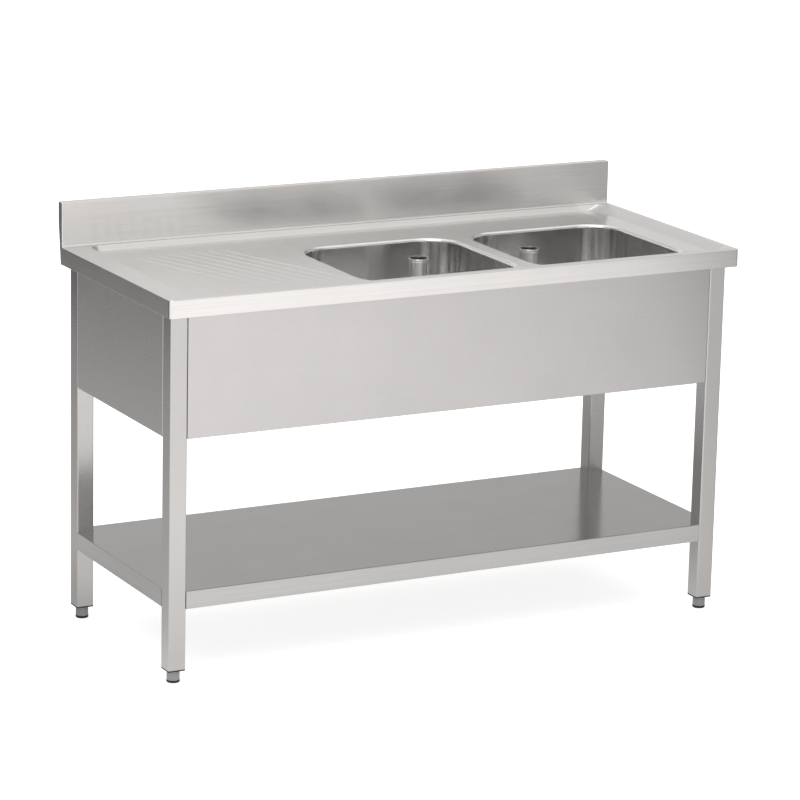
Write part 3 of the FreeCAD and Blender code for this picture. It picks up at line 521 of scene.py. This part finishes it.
def arc(x, y, radius, first, sweep, steps):
    """Points along an arc round (x, y); first and sweep are in degrees."""
    angles = [math.radians(first + sweep * k / steps) for k in range(steps + 1)]
    return [(x + radius * math.cos(a), y + radius * math.sin(a)) for a in angles]


def bend(radius, steps, sweep=90.0):
    """(sine, one minus cosine) times radius, along an arc that starts straight."""
    angles = [math.radians(sweep * k / steps) for k in range(steps + 1)]
    return [(radius * math.sin(a), radius * (1 - math.cos(a))) for a in angles]


def rounded_ring(low, high, grow, radius, z, steps=12):
    """A rounded rectangle round the box low to high, moved outwards by grow."""
    left, front = low[0] + radius, low[1] + radius
    right, rear = high[0] - radius, high[1] - radius
    points = []
    for x, y, first in ((right, front, -90), (right, rear, 0), (left, rear, 90), (left, front, 180)):
        points += arc(x, y, radius + grow, first, 90, steps)
    return [(x, y, z) for x, y in points]


def round_ring(x, y, radius, z, steps=64):
    turns = [2 * math.pi * k / steps for k in range(steps)]
    return [(x + radius * math.cos(a), y + radius * math.sin(a), z) for a in turns]


def turn(sheet, x, y, profile, closed=True, steps=64):
    """Turns a profile of (radius, height) points round the upright line through x, y."""
    rings = [sheet.ring(round_ring(x, y, r, z, steps)) for r, z in profile]
    sheet.loft(rings)
    if closed:
        sheet.strip(rings[-1], rings[0])
    sheet.look_outwards()
    return rings


def thread(sheet, x, y, root, crest, pitch, low, high, steps=32):
    """A screw thread: one ridge wound round the upright line through x, y."""
    count = round((high - low) / pitch * steps)

    def helix(radius, rise, ceiling):
        points = []
        for k in range(count + steps + 1):
            a = 2 * math.pi * k / steps
            z = low + pitch * (k / steps - 1) + rise
            height = min(max(z, low), ceiling)
            points.append((x + radius * math.cos(a), y + radius * math.sin(a), height))
        return sheet.ring(points)

    bottoms = helix(root, 0.0, high + pitch)
    tops = helix(crest, pitch / 2, high)
    for k in range(count):
        sheet.mesh.faces.new((bottoms[k], bottoms[k + 1], tops[k + 1], tops[k]))
        sheet.mesh.faces.new((tops[k], tops[k + 1], bottoms[k + 1 + steps], bottoms[k + steps]))


# ---------------------------------------------------------------- worktop
def recess_profile():
    """(outwards from the edge of the recess, height): soft edge, sloping wall, soft foot."""
    slope = math.degrees(math.atan2(RECESS_DEPTH, RECESS_RUN))
    crest_run = RECESS_CREST * math.tan(math.radians(slope / 2))
    foot_run = RECESS_FOOT * math.tan(math.radians(slope / 2))
    crest = [(crest_run - run, TOP_LEVEL - drop) for run, drop in bend(RECESS_CREST, 5, slope)]
    foot = [(run - foot_run - RECESS_RUN, RECESS_LEVEL + rise)
            for run, rise in bend(RECESS_FOOT, 6, slope)]
    return crest + foot[::-1]


def edge_path(out, z):
    """The front and both ends of the worktop as one open path, out from the inner bend line."""
    x = TOP_HIGH.x - PLAN_CORNER
    front = TOP_LOW.y + PLAN_CORNER
    back = SPLASH_Y - CREASE
    radius = PLAN_CORNER - BEND + out
    reach = max(radius, 0.0)
    inward = min(radius, 0.0)
    path = [(-x - radius, back)]
    path += arc(-x - inward, front - inward, reach, 180, 90, 8)
    path += arc(x + inward, front - inward, reach, 270, 90, 8)
    path.append((x + radius, back))
    return [(px, py, z) for px, py in path]


def upstand_section(x, inset):
    """The folded upstand in section, from the crease over the crown to the foot of its wall face."""
    crown = TOP_HIGH.z
    wall = TOP_HIGH.y
    section = arc(SPLASH_Y - CREASE, TOP_LEVEL + CREASE, CREASE + inset, -90, 90, 6)
    section += arc(SPLASH_Y + BEND, crown - BEND, BEND - inset, 180, -90, 4)
    section += arc(wall - BEND, crown - BEND, BEND - inset, 90, -90, 4)
    section.append((wall - inset, crown - SPLASH_STRAIGHT))
    section.append((wall - SPLASH_FOOT_GAP - inset, TOP_LOW.z))
    return [(x, y, z) for y, z in section]


def rib_ring(x, half_wide, z):
    """A ring with round ends, leaning by the ribs' lean, round a rib whose middle is at x."""
    lean = math.radians(RIB_LEAN)
    points = []
    for end, first in ((1, -90), (-1, 90)):
        end_x = x + end * RIB_RUN * math.sin(lean)
        end_y = RIB_MID_Y - end * RIB_RUN * math.cos(lean)
        points += arc(end_x, end_y, half_wide, first - 90 + RIB_LEAN, 180, 8)
    return [(px, py, z) for px, py in points]


def add_edge(top):
    """The folded edge along the front and both ends, with its flange turned in below."""
    paths = [edge_path(out, TOP_LEVEL - drop) for out, drop in bend(BEND, 4)]
    paths += [edge_path(BEND - drop, TOP_LOW.z + HEM - run) for run, drop in bend(HEM, 3)]
    paths.append(edge_path(BEND - EDGE_RETURN, TOP_LOW.z))
    top.loft([top.ring(path) for path in paths], closed=False)


def add_upstand(top):
    """The upstand, its ends rounded like the edge and closed."""
    end_x = TOP_HIGH.x - BEND
    rounding = bend(BEND, 4)
    stations = [(-end_x - out, inset) for out, inset in rounding[::-1]]
    stations += [(end_x + out, inset) for out, inset in rounding]
    sections = [top.ring(upstand_section(x, inset)) for x, inset in stations]
    top.loft(sections, closed=False)
    for section in (sections[0], sections[-1]):
        foot = (section[0].co.x, SPLASH_Y - CREASE, TOP_LOW.z)
        top.mesh.faces.new(section + top.ring([foot]))


def add_recess(top):
    """The border, the pressed recess and the ribs in its floor, with holes for the bowls."""
    walls = []
    for out, z in recess_profile():
        right = RECESS_HIGH[0] + (RECESS_RIGHT_SPREAD - 1) * min(out, 0.0)
        high = (right, RECESS_HIGH[1])
        walls.append(top.ring(rounded_ring(RECESS_LOW, high, out, RECESS_CORNER, z)))
    top.loft(walls)
    top.fill(top.ring(edge_path(0.0, TOP_LEVEL)), walls[0])
    holes = [top.ring(rounded_ring(low, high, 0, BOWL_RIM_CORNER, RECESS_LEVEL))
             for low, high in BOWLS.values()]
    for k in range(RIB_COUNT):
        x = RIB_LAST_X - k * RIB_PITCH
        rings = [top.ring(rib_ring(x, half * MM, RECESS_LEVEL + rise * MM)) for half, rise in RIB_SHAPE]
        top.loft(rings)
        top.mesh.faces.new(rings[-1])
        holes.append(rings[0])
    top.fill(walls[-1], *holes)


def make_worktop():
    top = Sheet()
    add_edge(top)
    add_upstand(top)
    add_recess(top)
    top.piece("worktop_folded", "frame", "worktop", "worktop_steel", TOP_SHEET, (0, 0, 1))


# ---------------------------------------------------------------- bowls, drains and standpipes
def make_bowl(side):
    low, high = BOWLS[side]
    x, y = middle_of("drain_flange_" + side)
    # (outwards from the bowl's box, height): rolled rim, wall, floor radius
    profile = [(0.0, RECESS_LEVEL)]
    profile += [(RIM_ROLL - RIM - run, RECESS_LEVEL - drop) for run, drop in bend(RIM_ROLL, 8)]
    for rise in (0.72, 0.40):
        profile.append((-RIM, BOWL_FLOOR + rise * (RECESS_LEVEL - BOWL_FLOOR)))
    profile += [(-RIM - drop, BOWL_FLOOR + BOWL_FLOOR_RADIUS - run)
                for run, drop in bend(BOWL_FLOOR_RADIUS, 12)]
    bowl = Sheet()
    walls = [bowl.ring(rounded_ring(low, high, out, BOWL_RIM_CORNER, z, 16)) for out, z in profile]
    bowl.loft(walls)
    # (radius, height): the sunk ring for the drain's flange, round the hole
    well = [(WELL + WELL_EDGE - run, BOWL_FLOOR - drop) for run, drop in bend(WELL_EDGE, 4)]
    well += [(WELL - drop, BOWL_FLOOR - WELL_DEEP + WELL_EDGE - run)
             for run, drop in bend(WELL_EDGE, 4)]
    well.append((DRAIN_HOLE, BOWL_FLOOR - WELL_DEEP))
    rings = turn(bowl, x, y, well, closed=False)
    bowl.fill(walls[-1], rings[0])
    bowl.piece("bowl_drawn_" + side, "frame", "bowl_" + side, "bowl_steel", TOP_SHEET, (0, 0, 1))


def make_drain(side):
    name = "drain_flange_" + side
    x, y = middle_of(name)
    low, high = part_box(name)
    # (radius, depth below the face) in mm: flange, collar, thread, tail, ledge, throat
    body = [(19.5, 0.4), (20.0, 0.0), (37.6, 0.0), (39.4, 0.5), (40.6, 1.3), (41.0, 2.2), (41.0, 3.0),
            (25.7, 3.0), (25.7, 4.2), (23.9, 4.2), (23.9, 18.2), (23.1, 18.2), (23.1, 20.2), (23.0, 20.2),
            (23.0, 45.0), (20.5, 45.0), (20.5, 18.0), (16.8, 18.0), (16.5, 17.7), (16.5, 15.3), (16.8, 15.0),
            (19.5, 15.0)]
    drain = Sheet()
    turn(drain, x, y, [(r * MM, high.z - depth * MM) for r, depth in body], steps=96)
    thread(drain, x, y, DRAIN_THREAD_ROOT, DRAIN_TAIL, DRAIN_THREAD_PITCH,
           low.z + 0.4 * MM, high.z - DRAIN_GROOVE)
    drain.piece("drain_turned_" + side, "frame", name, "drain_steel")


def make_nut(side):
    """Back nut: a round collar, its lower part with six wrench flats and a soft edge."""
    name = "drain_nut_" + side
    x, y = middle_of(name)
    low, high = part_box(name)
    steps = 96
    nut = Sheet()

    def ring(radius, z, flat):
        """A ring whose six flats lie at the distance flat, which cut it where it is wider."""
        points = []
        for k in range(steps):
            a = 2 * math.pi * k / steps
            from_flat = (math.degrees(a) + 60) % 60 - 30
            reach = min(radius, flat / math.cos(math.radians(from_flat)))
            points.append((x + reach * math.cos(a), y + reach * math.sin(a), z))
        return nut.ring(points)

    step = high.z - (high.z - low.z) / 3
    rings = [ring(NUT_BORE, high.z, NUT_RADIUS),
             ring(NUT_RADIUS - NUT_RIM_EDGE, high.z, NUT_RADIUS),
             ring(NUT_RADIUS, high.z - NUT_RIM_EDGE, NUT_RADIUS),
             ring(NUT_RADIUS, step, NUT_RADIUS),
             ring(NUT_RADIUS, step, NUT_FLAT),
             ring(NUT_RADIUS, low.z + NUT_EDGE, NUT_FLAT),
             ring(NUT_RADIUS - NUT_EDGE, low.z, NUT_FLAT - NUT_EDGE),
             ring(NUT_BORE, low.z, NUT_RADIUS)]
    nut.loft(rings)
    nut.strip(rings[-1], rings[0])
    nut.look_outwards()
    nut.piece("drain_nut_moulded_" + side, "frame", name, "nut_plastic")


def make_standpipe(side):
    name = "standpipe_" + side
    x, y = middle_of(name)
    low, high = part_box(name)
    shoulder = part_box("drain_flange_" + side)[1].z + 0.3 * MM
    # (radius, height) in mm above the foot, then above the shoulder
    plug = [(16.5, 0.0), (18.0, 0.0)]
    neck = [(18.0, 0.0), (19.0, 0.3), (19.8, 3.0), (20.2, 8.0)]
    # (radius, depth below the head) in mm: a low collar with a thin rolled lip
    collar = [(20.2, 8.0), (20.4, 7.3), (21.3, 6.8), (21.8, 6.1), (22.0, 5.2), (22.0, 1.4), (21.8, 0.6),
              (21.4, 0.1), (21.0, 0.0), (20.5, 0.1), (20.1, 0.5), (19.9, 1.2), (19.8, 2.2), (19.0, 3.6)]
    # (radius, height above the shoulder) in mm of the pipe's inside
    bore = [(19.0, 8.0), (18.4, 4.0), (16.5, 1.0)]
    profile = [(r * MM, low.z + rise * MM) for r, rise in plug]
    profile += [(r * MM, shoulder + rise * MM) for r, rise in neck]
    profile += [(r * MM, high.z - depth * MM) for r, depth in collar]
    profile += [(r * MM, shoulder + rise * MM) for r, rise in bore]
    pipe = Sheet()
    turn(pipe, x, y, profile)
    pipe.piece("standpipe_drawn_" + side, "standpipe_" + side, name, "pipe_chrome")


# ---------------------------------------------------------------- panels and shelf
def make_panel(node, out, low_flange, top_flange):
    """A folded panel that looks along out, its foot, head and both ends turned in."""
    low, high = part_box(node)
    out = Vector(out)
    run = Vector((1, 0, 0)) if abs(out.y) > 0.5 else Vector((0, 1, 0))
    face = max(corner.dot(out) for corner in (low, high))

    def point(inward, along, z):
        return out * (face - inward) + run * along + Vector((0, 0, z))

    head = high.z - FOLD
    foot = low.z + FOLD
    # (inwards from the face, height)
    section = [(top_flange, high.z)]
    section += [(FOLD - rise, high.z - drop) for rise, drop in bend(FOLD, 4)]
    front_head = len(section) - 1
    section += [(drop, foot - rise) for rise, drop in bend(FOLD, 4)]
    section.append((low_flange, low.z))
    # (inwards from the face, back from the end) of the end returns, which close the joints
    # with the legs, so that no light shines through them
    end_turn = [(drop, FOLD - rise) for rise, drop in bend(FOLD, 4)[1:]] + [(END_RETURN, 0.0)]
    panel = Sheet()
    rings = []
    for end, way in ((low.dot(run) + PANEL_JOINT, 1), (high.dot(run) - PANEL_JOINT, -1)):
        ring = panel.ring([point(inward, end + way * FOLD, z) for inward, z in section])
        rings.append(ring)
        columns = [ring[front_head:front_head + 2]]
        for inward, back in end_turn:
            columns.append(panel.ring([point(inward, end + way * back, z) for z in (head, foot)]))
        panel.loft(columns, closed=False)
    panel.loft(rings, closed=False)
    panel.piece(node + "_folded", "frame", node, "panel_steel", PANEL_SHEET, out)


def make_shelf():
    low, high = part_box("undershelf")
    x = high.x - BEND
    y = high.y - BEND
    shelf = Sheet()
    corner = [(x, high.y - SHELF_GAP), (x, high.y - SHELF_NOTCH),
              (high.x - SHELF_NOTCH, high.y - SHELF_NOTCH),
              (high.x - SHELF_NOTCH, y), (high.x - SHELF_GAP, y)]
    plate = []
    for side_x, side_y in ((1, 1), (-1, 1), (-1, -1), (1, -1)):
        points = [(side_x * px, side_y * py, high.z) for px, py in corner]
        plate += points if side_x * side_y > 0 else points[::-1]
    shelf.mesh.faces.new(shelf.ring(plate))

    # (outwards from the plate, height) of the folded edge
    edge = [(out, high.z - drop) for out, drop in bend(BEND, 4)]
    upright = len(edge) - 1
    edge += [(BEND - drop, low.z + HEM - run) for run, drop in bend(HEM, 3)]
    edge.append((BEND - SHELF_RETURN, low.z))

    def close_end(skirt, end, inward):
        """Turns one end of a skirt in, so that no light shines between it and the leg."""
        fold = [ring[end] for ring in skirt[upright:upright + 2]]
        tab = shelf.ring([vert.co + Vector(inward) for vert in fold])
        shelf.strip(fold, tab, closed=False)

    long_side = high.x - SHELF_GAP
    short_side = high.y - SHELF_GAP
    for sign in (-1, 1):
        long_skirt = []
        short_skirt = []
        for out, z in edge:
            at_y = sign * (y + out)
            at_x = sign * (x + out)
            long_skirt.append(shelf.ring([(-long_side, at_y, z), (long_side, at_y, z)]))
            short_skirt.append(shelf.ring([(at_x, -short_side, z), (at_x, short_side, z)]))
        shelf.loft(long_skirt, closed=False)
        shelf.loft(short_skirt, closed=False)
        for end in (0, 1):
            close_end(long_skirt, end, (0, -sign * END_RETURN, 0))
            close_end(short_skirt, end, (-sign * END_RETURN, 0, 0))
    shelf.piece("undershelf_folded", "frame", "undershelf", "shelf_steel", PANEL_SHEET, (0, 0, 1))


# ---------------------------------------------------------------- feet
def make_foot(tag):
    name = "foot_" + tag
    x, y = middle_of(name)
    low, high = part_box(name)
    # (radius in mm, height): pin for the sole, foot with a groove near its top, stem
    body = [(AXIS, low.z), (3.7, low.z), (4.0, low.z + 0.3 * MM), (4.0, FOOT_BASE),
            (13.4, FOOT_BASE), (14.2, FOOT_BASE + 0.8 * MM), (14.2, FOOT_TOP - 4.2 * MM),
            (13.9, FOOT_TOP - 3.9 * MM), (13.9, FOOT_TOP - 3.5 * MM), (14.2, FOOT_TOP - 3.2 * MM),
            (14.2, FOOT_TOP - 1.4 * MM), (13.8, FOOT_TOP - 0.5 * MM), (12.9, FOOT_TOP),
            (4.3, FOOT_TOP), (4.3, high.z), (AXIS, high.z)]
    foot = Sheet()
    turn(foot, x, y, [(r * MM, z) for r, z in body], closed=False, steps=48)
    thread(foot, x, y, STEM_THREAD_ROOT, STEM, STEM_THREAD_PITCH, FOOT_TOP, high.z - 0.2 * MM, 24)
    foot.piece("foot_turned_" + tag, name, name, "foot_steel")


def make_sole(tag):
    name = "foot_sole_" + tag
    x, y = middle_of(name)
    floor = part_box(name)[0].z
    # (radius, height above the floor) in mm, the lower edge rounded
    edge = [(12.0 + rise, drop) for rise, drop in bend(2.6, 4)]
    body = [(AXIS, 0.0)] + edge
    body += [(14.6, 4.4), (14.3, 4.9), (13.9, 5.0), (4.3, 5.0), (4.3, 1.7), (AXIS, 1.7)]
    sole = Sheet()
    turn(sole, x, y, [(r * MM, floor + z * MM) for r, z in body], closed=False, steps=48)
    sole.piece("foot_sole_moulded_" + tag, "sole_" + tag, name, "sole_plastic")


make_worktop()
for side in SIDES:
    make_bowl(side)
    make_drain(side)
    make_nut(side)
    make_standpipe(side)
make_panel("apron_front", (0, -1, 0), APRON_FOOT_FLANGE, APRON_HEAD_FLANGE)
make_panel("rail_rear", (0, 1, 0), SIDE_FLANGE, SIDE_FLANGE)
make_panel("panel_left", (-1, 0, 0), SIDE_FLANGE, SIDE_FLANGE)
make_panel("panel_right", (1, 0, 0), SIDE_FLANGE, SIDE_FLANGE)
make_shelf()
for tag in CORNERS:
    make_foot(tag)
    make_sole(tag)


# ---------------------------------------------------------------- camera, floor and light
def make_camera():
    azimuth = math.radians(-27.99)
    elevation = math.radians(14.22)
    roll = math.radians(-1.29)
    aim = Vector((0.0, -0.010, 0.500))
    slide = Vector((0.0005, -0.0013, -8.322))
    lens_px = 3700.0
    frame_px = 800.0
    sensor = 36.0
    back = Vector((math.sin(azimuth) * math.cos(elevation),
                   -math.cos(azimuth) * math.cos(elevation),
                   math.sin(elevation)))
    right = Vector((0, 0, 1)).cross(back).normalized()
    up = back.cross(right)
    turned_right = math.cos(roll) * right - math.sin(roll) * up
    turned_up = math.sin(roll) * right + math.cos(roll) * up
    axes = Matrix((turned_right, turned_up, back)).transposed()
    data = bpy.data.cameras.new("camera")
    data.sensor_width = sensor
    data.lens = sensor * lens_px / frame_px
    data.clip_start = 0.1
    data.clip_end = 200.0
    camera = bpy.data.objects.new("camera", data)
    camera.matrix_world = Matrix.Translation(aim - axes @ slide) @ axes.to_4x4()
    SCENE.collection.objects.link(camera)
    SCENE.camera = camera


TINT = (1.0, 0.976, 0.968, 1)
# how much the floor glows for the camera, so that it shows white outside the shadow
FLOOR_LIFT = 0.70
# what reflections see of the floor: (place, brightness) along x + FRONT_SKEW * y in front
# of the object and along x - BEHIND_SKEW * y behind it
FRONT_SKEW = 0.546
FLOOR_FRONT = ((-2.5, 1.18), (-0.75, 1.22), (-0.15, 1.10), (0.45, 1.0), (0.66, 0.90), (0.85, 0.42),
               (1.3, 0.42), (2.0, 0.50))
BEHIND_SKEW = 0.4
FLOOR_BEHIND = ((-4.5, 0.09), (-3.7, 0.10), (-3.3, 0.36), (-2.9, 0.46), (-1.8, 0.56), (-1.2, 0.72),
                (-0.7, 0.42), (0.4, 0.45), (1.2, 0.60), (3.0, 0.70))
# the floor is dimmer close to the object and beneath it: (y, brightness)
FLOOR_NEAR = ((-2.2, 1.0), (-1.3, 1.0), (-0.75, 0.90), (-0.35, 0.80), (0.20, 0.66), (1.0, 1.0), (2.0, 1.0))
# what reflections see of the studio: (azimuth, brightness), 0 towards -Y and 90 towards +X
WORLD_RING = ((-180.0, 0.72), (-165.0, 0.74), (-145.0, 0.74), (-120.0, 0.36), (-40.0, 0.70), (0.0, 1.12),
              (24.5, 1.14), (28.5, 0.60), (34.0, 0.42), (40.0, 0.42), (70.0, 0.55), (110.0, 0.50),
              (145.0, 0.72), (155.0, 0.79), (165.0, 0.76), (180.0, 0.72))
# (z of the direction, share of the ring's brightness), in front and behind
RISE_FRONT = ((0.0, 1.0), (0.25, 1.02), (0.35, 0.76), (0.60, 0.58))
RISE_REAR = ((0.0, 1.0), (0.20, 1.05), (0.40, 1.0), (0.55, 0.85), (0.70, 0.60))
# (z of the direction, brightness) overhead
WORLD_SKY = ((0.4, 0.50), (0.58, 0.50), (0.66, 0.90), (0.74, 1.15), (0.82, 0.85), (0.90, 1.10), (1.0, 1.60))


def make_floor():
    mesh = bpy.data.meshes.new("floor")
    half = 60.0
    corners = [(-half, -half, 0), (half, -half, 0), (half, half, 0), (-half, half, 0)]
    mesh.from_pydata(corners, [], [(0, 1, 2, 3)])
    floor = bpy.data.objects.new("floor", mesh)
    SCENE.collection.objects.link(floor)
    material = bpy.data.materials.new("floor_white")
    n = Nodes(material)
    path = n.add("ShaderNodeLightPath")
    # for the camera the floor glows up to white and keeps a soft shadow
    diffuse = n.add("ShaderNodeBsdfDiffuse")
    diffuse.inputs["Color"].default_value = (0.80, 0.80, 0.80, 1)
    lift = n.add("ShaderNodeEmission")
    n.join(n.math("MULTIPLY", path.outputs["Is Camera Ray"], FLOOR_LIFT), lift.inputs["Strength"])
    lit = n.add("ShaderNodeAddShader")
    n.join(diffuse.outputs[0], lit.inputs[0])
    n.join(lift.outputs[0], lit.inputs[1])
    # reflections see the light fall off across the studio floor
    x, y, _ = n.axes(n.add("ShaderNodeTexCoord").outputs["Object"])
    front_run = n.math("ADD", x, n.math("MULTIPLY", y, FRONT_SKEW))
    behind_run = n.math("SUBTRACT", x, n.math("MULTIPLY", y, BEHIND_SKEW))
    spread = n.mix(n.step(y, -0.2, 0.8), n.curve(front_run, FLOOR_FRONT), n.curve(behind_run, FLOOR_BEHIND))
    mirrored = n.add("ShaderNodeEmission")
    mirrored.inputs["Color"].default_value = TINT
    n.join(n.math("MULTIPLY", spread, n.curve(y, FLOOR_NEAR)), mirrored.inputs["Strength"])
    surface = n.pick(path.outputs["Is Glossy Ray"], lit.outputs[0], mirrored.outputs[0])
    n.join(surface, n.add("ShaderNodeOutputMaterial").inputs["Surface"])
    mesh.materials.append(material)


def make_world():
    """A soft pale studio for reflections and light, and plain white for the camera."""
    world = bpy.data.worlds.new("studio")
    SCENE.world = world
    n = Nodes(world)
    x, y, z = n.axes(n.add("ShaderNodeTexCoord").outputs["Generated"])
    turned = n.math("ARCTAN2", x, n.math("MULTIPLY", y, -1.0))
    azimuth = n.math("MULTIPLY", turned, math.degrees(1))
    rise = n.mix(n.step(y, -0.2, 0.2), n.curve(z, RISE_FRONT), n.curve(z, RISE_REAR))
    ring = n.math("MULTIPLY", n.curve(azimuth, WORLD_RING), rise)
    studio = n.add("ShaderNodeBackground")
    studio.inputs["Color"].default_value = TINT
    n.join(n.mix(n.step(z, 0.45, 0.80), ring, n.curve(z, WORLD_SKY)), studio.inputs["Strength"])
    white = n.add("ShaderNodeBackground")
    white.inputs["Color"].default_value = (1, 1, 1, 1)
    white.inputs["Strength"].default_value = 1.0
    path = n.add("ShaderNodeLightPath")
    surface = n.pick(path.outputs["Is Camera Ray"], studio.outputs[0], white.outputs[0])
    n.join(surface, n.add("ShaderNodeOutputWorld").inputs["Surface"])


def area_lamp(name, place, target, size, watts):
    data = bpy.data.lights.new(name, "AREA")
    data.shape = "RECTANGLE"
    data.size, data.size_y = size
    data.energy = watts
    lamp = bpy.data.objects.new(name, data)
    place = Vector(place)
    lamp.location = place
    lamp.rotation_euler = (Vector(target) - place).to_track_quat("-Z", "Y").to_euler()
    SCENE.collection.objects.link(lamp)


SCENE.view_settings.view_transform = "Standard"
make_camera()
make_floor()
make_world()
area_lamp("key", (-2.0, -2.5, 4.0), (0, 0, 0.6), (3.0, 2.5), 50)
